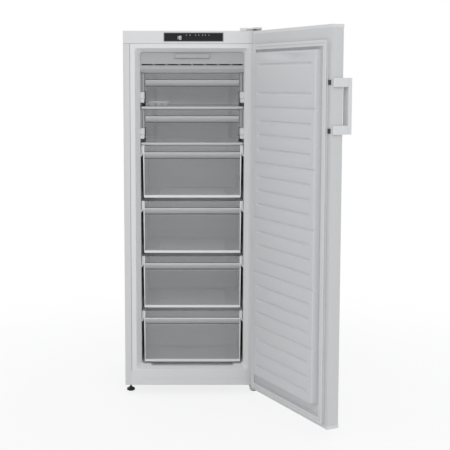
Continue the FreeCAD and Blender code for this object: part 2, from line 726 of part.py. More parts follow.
nodes["evaporator"] = make_evaporator()
heater_z = coil_bottom - tube_radius - fit_gap
heater_half = evaporator_width / 2 - 4
nodes["defrost_heater"] = tube_along(
    [V(-heater_half, coil_y - 7, heater_z), V(heater_half, coil_y - 7, heater_z),
     V(heater_half, coil_y + 7, heater_z), V(-heater_half, coil_y + 7, heater_z)], tube_radius)
trough_top = heater_z - trough_drop
trough_bottom = trough_top - trough_height
trough_half = evaporator_width / 2 + 8
trough_front = duct_front + cover_wall + snap_gap
trough_back = inner_back - snap_gap
drain_end = bay_top - drain_reach


def make_drain():
    """Sloping trough under the coil with its spout down into the machine bay."""
    outlet = 3 * drain_radius
    outer = prism_y([(-trough_half, trough_top), (-outlet, trough_bottom), (outlet, trough_bottom),
                     (trough_half, trough_top)], trough_front, trough_back)
    rim = box(-trough_half, trough_half, trough_front, trough_back, trough_top, trough_top + trough_rim)
    low, high, over = trough_bottom + trough_wall, trough_top + trough_wall, trough_top + trough_rim + 1
    room = prism_y([(4 * trough_wall - trough_half, high), (trough_wall - outlet, low),
                    (outlet - trough_wall, low), (trough_half - 4 * trough_wall, high),
                    (trough_half - trough_wall, over), (trough_wall - trough_half, over)],
                   trough_front + trough_wall, trough_back - trough_wall)
    spout = cylinder(drain_radius, trough_bottom + 1 - drain_end, V(0, drain_y, drain_end))
    bore = cylinder(drain_radius - 1.5, trough_bottom + 10 - drain_end, V(0, drain_y, drain_end - 1))
    return fused([outer, rim, spout]).cut(room).cut(bore)


nodes["drain_trough"] = make_drain()

motor_depth = 16.0
motor_front = inner_back - motor_depth - snap_gap


def make_fan_motor():
    """Round motor on a flat cross of four legs."""
    can = flatted_bar(motor_radius, motor_depth, V(0, motor_front, fan_z), motor_flats, True)
    legs = [box(-50, 50, inner_back - 4 - snap_gap, inner_back - snap_gap, fan_z - 6, fan_z + 6),
            box(-6, 6, inner_back - 4 - snap_gap, inner_back - snap_gap, fan_z - 50, fan_z + 50)]
    bore = cylinder(fan_shaft_radius + pin_gap, 12, V(0, motor_front - 1, fan_z), Y_AXIS)
    return fused([can] + legs).cut(bore)


def make_fan():
    """Hub, shaft and twisted blades."""
    depth = 12.0
    front = motor_front - 1.5 - depth
    parts = [flatted_bar(fan_hub_radius, depth, V(0, front, fan_z), motor_flats, True),
             cylinder(fan_shaft_radius, 11, V(0, front + depth - 1, fan_z), Y_AXIS)]
    for i in range(fan_blades):
        blade = prism_x([(front + 1, fan_z - 12), (front + 3, fan_z - 12),
                         (front + depth - 1, fan_z + 12), (front + depth - 3, fan_z + 12)],
                        fan_hub_radius - 3, fan_radius)
        blade.rotate(V(0, 0, fan_z), Y_AXIS, 360.0 / fan_blades * i)
        parts.append(blade)
    return fused(parts)


nodes["fan_motor"] = make_fan_motor()
nodes["fan_blade"] = make_fan()


# ---- machine bay ---------------------------------------------------------------------------------
tray_top = floor_clearance + 1.5
bay_middle = (bay_front + sheet + cabinet_depth) / 2
cord_x = half_width - 70.0
inlet_half = 11.0
inlet_bore = 4.0
inlet_back = cabinet_depth + 1
gland_z = floor_clearance + 28


def make_bay_tray():
    """Steel floor of the bay with an upstand that carries the supply inlet."""
    floor = box(-half_width + sheet, half_width - sheet, bay_front + sheet, cabinet_depth - sheet,
                floor_clearance, tray_top)
    upstand = box(cord_x - 22, cord_x + 22, cabinet_depth - sheet - 1.5, cabinet_depth - sheet,
                  floor_clearance, floor_clearance + 48)
    hole = box(cord_x - inlet_half, cord_x + inlet_half, cabinet_depth - 5, cabinet_depth,
               gland_z - inlet_half * 0.8, gland_z + inlet_half * 0.8)
    return fused([floor, upstand]).cut(hole)


nodes["compressor_tray"] = make_bay_tray()
inlet = [box(cord_x - w, cord_x + w, y0, y1, gland_z - w * 0.8, gland_z + w * 0.8) for w, y0, y1 in (
    (inlet_half, cabinet_depth - 18, inlet_back), (inlet_half + 3, cabinet_depth - sheet, inlet_back))]
nodes["supply_inlet"] = fused(inlet).cut(
    cylinder(inlet_bore, 30, V(cord_x, cabinet_depth - 20, gland_z), Y_AXIS))

grommets = []
plate_z = tray_top + grommet_height
for side_x in (-62, 62):
    for side_y in (-58, 58):
        x, y = compressor_offset + side_x, bay_middle + side_y
        grommets.append(box(x - 8, x + 8, y - 8, y + 8, tray_top, plate_z))
nodes["compressor_grommets"] = Part.makeCompound(grommets)


def make_compressor():
    """Welded can with a sloping shoulder, on a stamped foot plate."""
    r, z0, z1 = compressor_radius, plate_z, plate_z + compressor_height
    base, shoulder, lid = (flatted_ring(radius, V(compressor_offset, bay_middle, z), can_flats)
                           for radius, z in ((r, z0), (r, z1 - lid_rise), (r - lid_slope, z1)))
    can = fused([frustum(base, shoulder), frustum(shoulder, lid)])
    plate = box(compressor_offset - 74, compressor_offset + 74, bay_middle - 70, bay_middle + 70,
                plate_z, plate_z + 3)
    return fused([can, plate])


nodes["compressor"] = make_compressor()
pan_z = plate_z + compressor_height + fit_gap
nodes["drip_tray"] = box(-pan_half_width, pan_half_width, bay_middle - pan_half_depth,
                         bay_middle + pan_half_depth, pan_z, pan_z + pan_height).cut(
    box(pan_wall - pan_half_width, pan_half_width - pan_wall, bay_middle - pan_half_depth + pan_wall,
        bay_middle + pan_half_depth - pan_wall, pan_z + pan_wall, pan_z + pan_height + 1))

pipe_y = bay_middle + 20
nodes["refrigerant_tubes"] = Part.makeCompound([
    tube_along([V(compressor_offset, y, z), V(x, y, z), V(x, y, bay_top - sheet)], tube_radius)
    for x, y, z in ((pan_half_width + 18, pipe_y, plate_z + 40),
                    (pan_half_width + 40, pipe_y - 30, plate_z + 28))]).cut(nodes["compressor"])

# ---- feet ----------------------------------------------------------------------------------------
nuts = []
for name, side in (("foot_left", -1), ("foot_right", 1)):
    centre = V(side * foot_x, foot_inset_y, 0)
    disc = flatted_bar(foot_disc_radius, foot_disc_height, centre, foot_disc_flats)
    stud = cylinder(foot_stud_radius, foot_stud_length - foot_disc_height + 2,
                    centre + V(0, 0, foot_disc_height - 2))
    nodes[name] = fused([disc, stud])
    nut = hexagon(foot_nut_radius, foot_nut_height, centre + V(0, 0, floor_clearance))
    under_pan = centre + V(0, 0, floor_clearance - 1)
    nuts.append(nut.cut(cylinder(foot_stud_radius + pin_gap, foot_nut_height + 2, under_pan)))
    nodes["base_pan"] = nodes["base_pan"].cut(hexagon(foot_nut_radius, 4, under_pan))
nodes["foot_nuts"] = Part.makeCompound(nuts)


def make_rear_foot():
    """Moulded block under the bay, narrower at the floor."""
    def ring(grow, z):
        x, y = half_width - rear_foot_inset_x, cabinet_depth - rear_foot_inset_y
        across, along = rear_foot_width / 2 + grow, rear_foot_length / 2 + grow
        return level_ring(x - across, x + across, y - along, y + along, z)
    return frustum(ring(0, 0), ring(rear_foot_flare, floor_clearance))


nodes["rear_feet"] = mirrored_pair(make_rear_foot())


# ---- door, modelled shut and then swung open -----------------------------------------------------
hinge_axis = V(hinge_x, hinge_y, 0)
skin_inset = 0.5              # skin behind the edge of the end caps
skin_half = half_width - skin_inset
skin_low, skin_high = door_bottom + door_cap, door_top - door_cap
liner_back = door_inner - liner_wall
lip = 10.0
door_pieces = {}
skin_outline = [(-skin_half, liner_back), (-skin_half, door_outer + skin_inset),
                (skin_half, door_outer + skin_inset), (skin_half, liner_back),
                (skin_half - lip, liner_back), (skin_half - lip, liner_back - sheet),
                (skin_half - sheet, liner_back - sheet),
                (skin_half - sheet, door_outer + skin_inset + sheet),
                (-skin_half + sheet, door_outer + skin_inset + sheet),
                (-skin_half + sheet, liner_back - sheet), (-skin_half + lip, liner_back - sheet),
                (-skin_half + lip, liner_back)]
door_pieces["door_skin"] = prism_z(skin_outline, skin_low, skin_high)

plateau_low, plateau_high = mouth_bottom + 4.0, inner_top + 2.0
plateau_half = mouth_half - plateau_margin


def plateau(shrink):
    """Raised middle of the door's liner; shrink gives the hollow behind it."""
    def ring(half, low, high, y):
        return [V(-half, y, low), V(-half, y, high), V(half, y, high), V(half, y, low)]
    foot = ring(plateau_half - shrink, plateau_low + shrink, plateau_high - shrink, liner_back)
    crown = ring(plateau_half - plateau_draft - shrink, plateau_low + 11 + shrink,
                 plateau_high - plateau_draft - shrink, door_inner + plateau_height - shrink)
    return frustum(foot, crown)


def groove(middle, half):
    """One level groove across the plateau, wider at its mouth."""
    face, floor, mouth = door_inner + plateau_height, groove_height / 2 - groove_side, groove_height / 2
    return prism_x([(face + 1, middle - mouth), (face + 1, middle + mouth), (face, middle + mouth),
                    (face - groove_depth, middle + floor), (face - groove_depth, middle - floor),
                    (face, middle - mouth)], -half, half)


def grooves():
    """Every fourth groove crosses the whole plateau, the others stop short of its sides."""
    crown_half = plateau_half - plateau_draft
    cuts = []
    for i in range(groove_bays + 1):
        middle = plateau_high - groove_top_drop - groove_pitch * i
        if i != 1 and middle > plateau_low + 30:      # the second bay stays plain
            cuts.append(groove(middle, crown_half + 2 if i % 4 == 3 else short_groove_half))
    return cuts


def make_door_liner():
    base = box(-skin_half, skin_half, liner_back, door_inner, skin_low, skin_high)
    outer = plateau(0)
    inner = plateau(liner_wall + groove_depth)
    for cut in grooves():
        outer = outer.cut(cut)
    recess_x, recess_top = recess_left - half_width, plateau_high - recess_drop
    recess = box(recess_x, recess_x + recess_width, door_inner + plateau_height - recess_depth,
                 door_inner + plateau_height + 1, recess_top - recess_height, recess_top)
    return fused([base, outer]).cut(inner).cut(recess), inner


door_pieces["door_liner"], liner_hollow = make_door_liner()

foam_core = box(-skin_half + sheet, skin_half - sheet, door_outer + skin_inset + sheet,
                liner_back - sheet, skin_low, skin_high)
foam_step = box(-skin_half + lip, skin_half - lip, liner_back - sheet, liner_back,
                skin_low, skin_high)
bush_half = hinge_pin_radius + pin_gap + bush_wall
bush_blocks = [box(hinge_x - bush_half, hinge_x + bush_half, hinge_y - bush_half, hinge_y + bush_half,
                   z, z + bush_length) for z in (door_bottom, door_top - bush_length)]
bush_hole = Part.makeCompound(bush_blocks)
door_pieces["door_foam"] = fused([foam_core, foam_step, liner_hollow]).cut(bush_hole)


def make_cap(low, high, plain_side):
    """Moulded end cap: a plate over the door's end, with a shallow step along its inner side."""
    slab = box(-half_width, half_width, door_outer, door_inner, low, high)
    step = box(-half_width - 1, half_width + 1, door_inner - 1.2, door_inner + 1,
               *((low + 3, high + 1) if plain_side < 0 else (low - 1, high - 3)))
    return slab.cut(step).cut(bush_hole)


door_pieces["door_bottom_cap"] = make_cap(door_bottom, skin_low, 1)
door_pieces["door_top_cap"] = make_cap(skin_high, door_top, -1)
pin_room = cylinder(hinge_pin_radius + pin_gap, door_top, V(hinge_x, hinge_y, 0))
door_pieces["door_bushes"] = Part.makeCompound([block.cut(pin_room) for block in bush_blocks])

gasket_low = door_bottom + gasket_bottom_margin
gasket_high = door_top - gasket_top_margin


def ring_layer(outset, inset, y0, y1):
    """One layer of the gasket's section, carried round all four sides."""
    half = half_width - gasket_margin
    outer = box(-half + outset, half - outset, y0, y1, gasket_low + outset, gasket_high - outset)
    hole = half - gasket_width + inset
    return outer.cut(box(-hole, hole, y0 - 1, y1 + 1, gasket_low + gasket_width - inset,
                         gasket_high - gasket_width + inset))


gasket_room = door_gap - fit_gap
door_pieces["door_gasket"] = fused([
    ring_layer(0, 0, door_inner, door_inner + 2.5),
    ring_layer(5, 5, door_inner + 2.5, door_inner + gasket_room - 4),
    ring_layer(1.5, 1.5, door_inner + gasket_room - 4, door_inner + gasket_room)])

handle_outer = door_outer - handle_reach
bar_back = handle_outer + handle_bar_thickness
handle_edge = -half_width - handle_plate


def make_handle_arm(low):
    """Arm clamped on the door's edge and reaching out past its face."""
    high = low + handle_arm_height
    outline = [(-half_width, door_inner - 6), (handle_edge + 2, door_inner - 6),
               (handle_edge, door_inner - 9), (handle_edge, bar_back),
               (handle_edge + handle_width, bar_back),
               (handle_edge + handle_width, door_outer - snap_gap),
               (-half_width, door_outer - snap_gap)]
    return prism_z(outline, low, high)


door_pieces["handle_arms"] = Part.makeCompound(
    [make_handle_arm(handle_bottom), make_handle_arm(handle_top - handle_arm_height)])
bar = box(handle_edge, handle_edge + handle_width, handle_outer, bar_back, handle_bottom, handle_top)
upright_edges = [edge for edge in bar.Edges if abs(edge.tangentAt(edge.FirstParameter).z) > 0.9]
door_pieces["handle_bar"] = bar.makeFillet(2.5, upright_edges)
door_pieces["handle_screw_caps"] = Part.makeCompound([
    box(-half_width, -half_width + cap_width, door_inner, door_inner + 3, low + 7, low + 7 + cap_height)
    for low in (handle_bottom - 3, handle_top - handle_arm_height)])

for name, piece in door_pieces.items():
    piece.rotate(hinge_axis, Z_AXIS, door_open_angle)
    nodes[name] = piece

# ---- hinges --------------------------------------------------------------------------------------
screw_spots = [V(half_width - 62, 46, 0), V(half_width - 22, 46, 0)]
upper_plate = prism_z([(half_width - 76, 2), (half_width - 32, 2), (hinge_x - 14, hinge_y),
                       (hinge_x - 8, hinge_y - 12), (hinge_x + 6, hinge_y - 12),
                       (half_width - 2, hinge_y), (half_width - 2, 56), (half_width - 76, 56)],
                      cabinet_top, plate_top)
upper_pin = cylinder(hinge_pin_radius, bush_length, V(hinge_x, hinge_y, plate_top - bush_length))
screws = [fused([cylinder(screw_radius, screw_length + 1, spot + V(0, 0, plate_top - screw_length)),
                 hexagon(screw_radius * 2, 3, spot + V(0, 0, plate_top))]) for spot in screw_spots]
nodes["hinge_bracket_upper"] = fused([upper_plate, upper_pin])
for name in ("hinge_bracket_upper", "top_panel"):
    for spot in screw_spots:
        nodes[name] = nodes[name].cut(hexagon(screw_radius * 1.2, 6, spot + V(0, 0, cabinet_top - 2)))
nodes["hinge_screws"] = Part.makeCompound(screws)

lower_top = door_bottom - 0.5
lower_plate = prism_x([(hinge_y - 14, lower_top - bracket_plate), (hinge_y - 14, lower_top),
                       (2, lower_top), (8, floor_clearance), (44, floor_clearance),
                       (44, floor_clearance - bracket_plate), (8, floor_clearance - bracket_plate),
                       (2, lower_top - bracket_plate)], half_width - 40, half_width - 2)
lower_pin = cylinder(hinge_pin_radius, bush_length - 2, V(hinge_x, hinge_y, lower_top - 1))
nodes["hinge_bracket_lower"] = fused([lower_plate, lower_pin])

cover_top = cabinet_top + hinge_cover_height
cover_left = half_width - hinge_cover_width
cover_plan = [(cover_left, -2), (half_width - 36, -2), (hinge_x - 19, hinge_y - 6),
              (hinge_x - 12, hinge_y - 18), (half_width - 1, hinge_y - 18),
              (half_width, hinge_cover_back), (cover_left, hinge_cover_back)]
cover_block = prism_z(cover_plan, cabinet_top, cover_top)
cover_hollow = [(cover_left + 2, 0.5), (half_width - 34.5, 0.5), (hinge_x - 17, hinge_y - 5.5),
                (hinge_x - 10.5, hinge_y - 16), (half_width - 1.5, hinge_y - 16),
                (half_width - 1.2, hinge_cover_back - 2), (cover_left + 2, hinge_cover_back - 2)]
nodes["hinge_cover"] = cover_block.cut(prism_z(cover_hollow, cabinet_top - 1, cover_top - 2))

# ---- to the object's own frame, and out ----------------------------------------------------------
bounds = Part.makeCompound(list(nodes.values())).optimalBoundingBox(False)
origin = V((bounds.XMin + bounds.XMax) / 2, (bounds.YMin + bounds.YMax) / 2, bounds.ZMin)

os.makedirs("parts", exist_ok=True)
for name, shape in nodes.items():
    shape.translate(origin * -1)
    shape.exportStep("parts/%s.step" % name)
print("%d nodes, origin at %.3f %.3f %.3f" % (len(nodes), origin.x, origin.y, origin.z))
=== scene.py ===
"""Looks of an upright no-frost freezer with its door standing open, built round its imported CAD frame."""
import bpy
import bmesh
import json
import math
from mathutils import Matrix, Vector


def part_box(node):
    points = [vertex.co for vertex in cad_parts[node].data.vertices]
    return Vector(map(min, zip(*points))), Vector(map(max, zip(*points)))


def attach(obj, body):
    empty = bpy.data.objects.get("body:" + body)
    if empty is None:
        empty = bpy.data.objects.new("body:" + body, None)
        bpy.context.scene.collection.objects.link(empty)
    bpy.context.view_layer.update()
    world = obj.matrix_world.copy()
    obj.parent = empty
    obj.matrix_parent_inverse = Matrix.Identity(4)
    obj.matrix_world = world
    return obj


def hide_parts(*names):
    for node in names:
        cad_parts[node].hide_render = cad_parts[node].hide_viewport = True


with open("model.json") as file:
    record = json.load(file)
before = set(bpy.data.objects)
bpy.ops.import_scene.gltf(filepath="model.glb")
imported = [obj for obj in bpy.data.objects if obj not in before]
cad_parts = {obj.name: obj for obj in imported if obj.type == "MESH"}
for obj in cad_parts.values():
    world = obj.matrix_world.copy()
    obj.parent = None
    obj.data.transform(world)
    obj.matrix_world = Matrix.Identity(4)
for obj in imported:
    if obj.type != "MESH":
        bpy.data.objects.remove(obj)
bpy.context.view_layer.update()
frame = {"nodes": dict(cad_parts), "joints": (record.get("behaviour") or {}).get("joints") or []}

nodes = frame["nodes"]
joints = {joint["name"]: joint for joint in frame["joints"]}
left_low, left_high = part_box("side_panel_left")
right_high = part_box("side_panel_right")[1]
middle_x, front_y, back_y = (left_low.x + right_high.x) / 2, left_low.y, left_high.y

# ---- Studio ----
# A pale seamless floor under soft frontal light, seen from the front at chest height.
# None of it belongs to the freezer.


def placed(name, data):
    """New object of the scene, made from that data."""
    made = bpy.data.objects.new(name, data)
    bpy.context.scene.collection.objects.link(made)
    return made


camera = placed("camera", bpy.data.cameras.new("camera"))
camera_tilt = 6  # degrees below level
camera.location = (middle_x + 0.0242, front_y - 3.8967, 1.2543)
camera.rotation_euler = (math.radians(90 - camera_tilt), 0, 0)
camera.data.lens = 79.24
camera.data.sensor_width = 36
camera.data.shift_x = 0.0593
camera.data.shift_y = -0.0851
camera.data.clip_end = 60
bpy.context.scene.camera = camera
bpy.context.scene.view_settings.view_transform = "Standard"


def soft_lamp(name, place, target, width, height, watts):
    """Rectangular lamp at one place, turned to face another."""
    lamp = bpy.data.lights.new(name, "AREA")
    lamp.shape, lamp.size, lamp.size_y, lamp.energy = "RECTANGLE", width, height, watts
    holder = placed(name, lamp)
    holder.location = place
    holder.rotation_euler = (Vector(target) - Vector(place)).to_track_quat("-Z", "Y").to_euler()


soft_lamp("high_front", (-0.2, -3.6, 3.6), (-0.1, 0.1, 0.6), 2.4, 1.4, 27)
soft_lamp("frontal", (-0.3, -5.4, 0.9), (-0.1, 0.0, 0.3), 1.6, 1.6, 17)
soft_lamp("rear_fill", (1.8, 3.4, 2.4), (-0.1, 0.3, 0.8), 2.0, 2.0, 9)


def added(tree, kind, **values):
    """New node of a tree, with some of its settings or of its plain inputs given."""
    node = tree.nodes.new(kind)
    for label, value in values.items():
        if hasattr(node, label):
            setattr(node, label, value)
        else:
            node.inputs[label.replace("_", " ")].default_value = value
    return node


def wired(tree, *links):
    """Joins nodes of a tree, each link given as a node, its output, a node and its input."""
    for source, output, target, entry in links:
        tree.links.new(source.outputs[output], target.inputs[entry])


world = bpy.data.worlds.new("studio")
bpy.context.scene.world = world
world.use_nodes = True
tree = world.node_tree
tree.nodes.clear()
path = added(tree, "ShaderNodeLightPath")
seen = added(tree, "ShaderNodeMath", operation="MAXIMUM")
any_seen = added(tree, "ShaderNodeMath", operation="MAXIMUM")
fill = added(tree, "ShaderNodeBackground", Color=(0.985, 0.99, 1.0, 1), Strength=0.80)
white = added(tree, "ShaderNodeBackground", Color=(1, 1, 1, 1))
mix, out = added(tree, "ShaderNodeMixShader"), added(tree, "ShaderNodeOutputWorld")
wired(tree, (path, "Is Camera Ray", seen, 0), (path, "Is Glossy Ray", seen, 1), (seen, 0, any_seen, 0),
      (path, "Is Transmission Ray", any_seen, 1), (any_seen, 0, mix, 0), (fill, 0, mix, 1),
      (white, 0, mix, 2), (mix, 0, out, "Surface"))

floor_reach = 20
floor_mesh = bpy.data.meshes.new("floor")
corners = [(x * floor_reach, y * floor_reach, 0) for x, y in ((-1, -1), (1, -1), (1, 1), (-1, 1))]
floor_mesh.from_pydata(corners, [], [(0, 1, 2, 3)])
floor = placed("floor", floor_mesh)
pale = bpy.data.materials.new("pale_floor")
pale.use_nodes = True
tree = pale.node_tree
surface = tree.nodes["Principled BSDF"]
surface.inputs["Base Color"].default_value = (0.86, 0.86, 0.87, 1)
surface.inputs["Roughness"].default_value = 0.7
place, reach = added(tree, "ShaderNodeTexCoord"), added(tree, "ShaderNodeVectorMath", operation="LENGTH")
fade = added(tree, "ShaderNodeMapRange", interpolation_type="SMOOTHSTEP", From_Min=0.7, From_Max=2.2,
             To_Min=0.82, To_Max=1.0)
path, share = added(tree, "ShaderNodeLightPath"), added(tree, "ShaderNodeMath", operation="MULTIPLY")
glow, mix = added(tree, "ShaderNodeEmission"), added(tree, "ShaderNodeMixShader")
wired(tree, (place, "Object", reach, 0), (reach, "Value", fade, "Value"), (fade, "Result", share, 0),
      (path, "Is Camera Ray", share, 1), (share, 0, mix, 0), (surface, 0, mix, 1), (glow, 0, mix, 2),
      (mix, 0, tree.nodes["Material Output"], "Surface"))
floor.data.materials.append(pale)

# ---- Cabinet shell ----
# Folded sheet steel with a baked white paint, slightly pebbled close up.  Each side is one sheet
# bent round the front and the back edge; a roof sheet and a galvanised back close the box.


def tone(r, g, b):
    """Scene colour of a paint whose swatch reads r, g, b out of 255."""
    return [((c / 255 + 0.055) / 1.055) ** 2.4 if c > 10 else c / 3295 for c in (r, g, b)] + [1]


def effect_group(name, numbers, results):
    """Empty shader group with named numbers going in and named values coming out."""
    group = bpy.data.node_groups.new(name, "ShaderNodeTree")
    for label, value in numbers:
        socket = group.interface.new_socket(label, in_out="INPUT", socket_type="NodeSocketFloat")
        socket.default_value = value
    for label in results:
        group.interface.new_socket(label, in_out="OUTPUT", socket_type="NodeSocketFloat")
    return (group, group.nodes.new("NodeGroupInput"), group.nodes.new("NodeGroupOutput"),
            group.nodes.new("ShaderNodeTexCoord"))


def make_surface_grain():
    """Fine grain of a moulded or painted surface, and a slow drift of tone across it."""
    group, start, end, where = effect_group(
        "surface_grain", (("Grain Scale", 900.0), ("Drift Scale", 3.0)), ("Height", "Drift"))
    for label, scale, detail in (("Height", "Grain Scale", 2.0), ("Drift", "Drift Scale", 1.0)):
        noise = added(group, "ShaderNodeTexNoise", Detail=detail)
        wired(group, (where, "Object", noise, "Vector"), (start, scale, noise, "Scale"),
              (noise, "Fac", end, label))
    return group


def make_zinc_spangle():
    """Frosty crystals of a galvanised sheet, and the fine streaks that its rolling leaves."""
    group, start, end, where = effect_group(
        "zinc_spangle", (("Crystal Scale", 130.0), ("Streak Scale", 40.0)), ("Crystals", "Streaks"))
    cells, single = added(group, "ShaderNodeTexVoronoi"), added(group, "ShaderNodeSeparateColor")
    stretch = added(group, "ShaderNodeMapping", Scale=(1.0, 1.0, 0.04))
    noise = added(group, "ShaderNodeTexNoise", Detail=3.0)
    wired(group, (where, "Object", cells, "Vector"), (start, "Crystal Scale", cells, "Scale"),
          (cells, "Color", single, 0), (single, 0, end, "Crystals"), (where, "Object", stretch, "Vector"),
          (stretch, 0, noise, "Vector"), (start, "Streak Scale", noise, "Scale"),
          (noise, "Fac", end, "Streaks"))
    return group


def make_settled_dust():
    """Mask of the dust that lies on what faces up, in patches."""
    group, start, end, where = effect_group(
        "settled_dust", (("Patch Scale", 24.0), ("Amount", 0.35)), ("Dust",))
    axes, facing = added(group, "ShaderNodeSeparateXYZ"), added(group, "ShaderNodeMapRange", From_Min=0.45)
    noise = added(group, "ShaderNodeTexNoise", Detail=4.0)
    patchy, strength = [added(group, "ShaderNodeMath", operation="MULTIPLY") for _ in range(2)]
    wired(group, (where, "Normal", axes, 0), (axes, "Z", facing, "Value"),
          (where, "Object", noise, "Vector"), (start, "Patch Scale", noise, "Scale"),
          (facing, "Result", patchy, 0), (noise, "Fac", patchy, 1), (patchy, 0, strength, 0),
          (start, "Amount", strength, 1), (strength, 0, end, "Dust"))
    return group


surface_grain, zinc_spangle, settled_dust = make_surface_grain(), make_zinc_spangle(), make_settled_dust()


def finish_of(name, swatch, roughness, grain=900.0, relief=0.02, drift=0.03, metal=0.0, coat=0.0,
              see_through=1.0, dust=0.0, crystals=0.0):
    """Material of a swatch's colour, with grain relief in millimetres and a slow drift of tone and
    gloss; a metal may show crystals that vary its tone by that share, a hidden piece some dust."""
    made = bpy.data.materials.new(name)
    made.use_nodes = True
    tree = made.node_tree
    surface = tree.nodes["Principled BSDF"]
    for label, value in (("Metallic", metal), ("Coat Weight", coat), ("Coat Roughness", 0.12),
                         ("Alpha", see_through)):
        surface.inputs[label].default_value = value

    def blended(factor, low, high):
        node = added(tree, "ShaderNodeMix", data_type="RGBA")
        tree.links.new(factor, node.inputs["Factor"])
        for socket, value in ((node.inputs[6], low), (node.inputs[7], high)):
            if isinstance(value, bpy.types.NodeSocket):
                tree.links.new(value, socket)
            else:
                socket.default_value = value
        return node.outputs[2]

    fine = added(tree, "ShaderNodeGroup", node_tree=surface_grain, Grain_Scale=grain)
    shade, spread = fine.outputs["Drift"], drift
    if crystals:
        zinc = added(tree, "ShaderNodeGroup", node_tree=zinc_spangle)
        shade, spread = zinc.outputs["Crystals"], crystals
    colour = tone(*swatch)
    colour_now = blended(shade, [c * (1 - spread) for c in colour[:3]] + [1],
                         [min(1.0, c * (1 + spread)) for c in colour[:3]] + [1])
    if dust:
        lying = added(tree, "ShaderNodeGroup", node_tree=settled_dust, Amount=dust)
        colour_now = blended(lying.outputs["Dust"], colour_now, tone(150, 148, 143))
    tree.links.new(colour_now, surface.inputs["Base Color"])
    gloss = added(tree, "ShaderNodeMapRange", To_Min=max(0.02, roughness - 0.05), To_Max=roughness + 0.05)
    bump = added(tree, "ShaderNodeBump", Strength=0.6, Distance=relief / 1000)
    wired(tree, (*((zinc, "Streaks") if crystals else (fine, "Drift")), gloss, "Value"),
          (gloss, "Result", surface, "Roughness"), (fine, "Height", bump, "Height"),
          (bump, "Normal", surface, "Normal"))
    return made


def dress(finish, *names):
    """Gives CAD nodes that stay as they are their finish."""
    for name in names:
        slots = nodes[name].data.materials
        slots.clear()
        slots.append(finish)


def new_piece(name, mesh, finish, body, slot, *stands_for):
    """Adds a finished mesh as a piece that rides on a body and stands for CAD nodes."""
    mesh.name = name
    piece = placed(name, mesh)
    if finish:
        mesh.materials.clear()
        mesh.materials.append(finish)
    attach(piece, body)
    if stands_for:
        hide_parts(*stands_for)
    return piece


def as_mesh(shape, *finishes):
    """Plain mesh of a shape in the making, its faces turned outwards."""
    bmesh.ops.recalc_face_normals(shape, faces=shape.faces)
    mesh = bpy.data.meshes.new("making")
    shape.to_mesh(mesh)
    shape.free()
    for finish in finishes:
        mesh.materials.append(finish)
    return mesh


def worked(mesh, work):
    """The mesh as work's modifiers leave it, plain again."""
    holder = placed("making", mesh)
    work(holder)
    plain = bpy.data.meshes.new_from_object(holder.evaluated_get(bpy.context.evaluated_depsgraph_get()))
    bpy.data.objects.remove(holder)
    return plain


def smoothed(mesh, angle=40):
    """The mesh with soft shading, and creases where it turns by more than an angle."""
    mesh.shade_smooth()
    mesh.set_sharp_from_angle(angle=math.radians(angle))
    return mesh


def banded(shape, rings):
    """Joins closed rings of corners, each to the next, with faces, and gives the faces."""
    made = []
    for one, other in zip(rings, rings[1:]):
        for i in range(len(one)):
            j = (i + 1) % len(one)
            made.append(shape.faces.new((one[i], one[j], other[j], other[i])))
    return made


def block(shape, low, high):
    """Adds a plain brick between two opposite corners to a shape in the making."""
    size = [abs(h - l) for l, h in zip(low, high)]
    middle = [(l + h) / 2 for l, h in zip(low, high)]
    place = Matrix.Translation(middle) @ Matrix.Diagonal((*size, 1))
    return bmesh.ops.create_cube(shape, size=1, matrix=place)["verts"]


def cut_away(mesh, taken):
    """The mesh with what another one fills taken out of it."""
    cutter = placed("cutter", taken)

    def cut(holder):
        step = holder.modifiers.new("cut", "BOOLEAN")
        step.operation, step.solver, step.object = "DIFFERENCE", "EXACT", cutter
    plain = worked(mesh, cut)
    bpy.data.objects.remove(cutter)
    return plain


def cut_bricks(mesh, bricks):
    """The mesh without some bricks, each a lowest and a highest corner; they lie apart."""
    shape = bmesh.new()
    for low, high in bricks:
        block(shape, low, high)
    return cut_away(mesh, as_mesh(shape))


def bent(corners, radius, steps=5):
    """Line through (x, y) corners, each turned to an arc of that radius."""
    corners = [Vector(corner) for corner in corners]
    line = [corners[0]]
    for before, corner, after in zip(corners, corners[1:], corners[2:]):
        back, on = (before - corner).normalized(), (after - corner).normalized()
        half = back.angle(on) / 2
        centre = corner + (back + on).normalized() * radius / math.sin(half)
        start, end = corner + back * radius / math.tan(half), corner + on * radius / math.tan(half)
        for i in range(steps + 1):
            way = (start - centre).lerp(end - centre, i / steps).normalized()
            line.append(centre + way * radius)
    return line + corners[-1:]


def folded_sheet(line, wall, low, high):
    """Upright sheet along a line of (x, y) points, its wall on the line's left hand."""
    shape = bmesh.new()
    inside = []
    for i, point in enumerate(line):
        before, after = line[max(i - 1, 0)], line[min(i + 1, len(line) - 1)]
        along = (after - before).normalized()
        inside.append(point + Vector((-along.y, along.x)) * wall)
    ring = list(line) + inside[::-1]
    rows = [[shape.verts.new((p.x, p.y, z)) for p in ring] for z in (low, high)]
    banded(shape, rows)
    for i in range(len(line) - 1):
        for row in rows:
            shape.faces.new((row[i], row[i + 1], row[-2 - i], row[-1 - i]))
    return shape


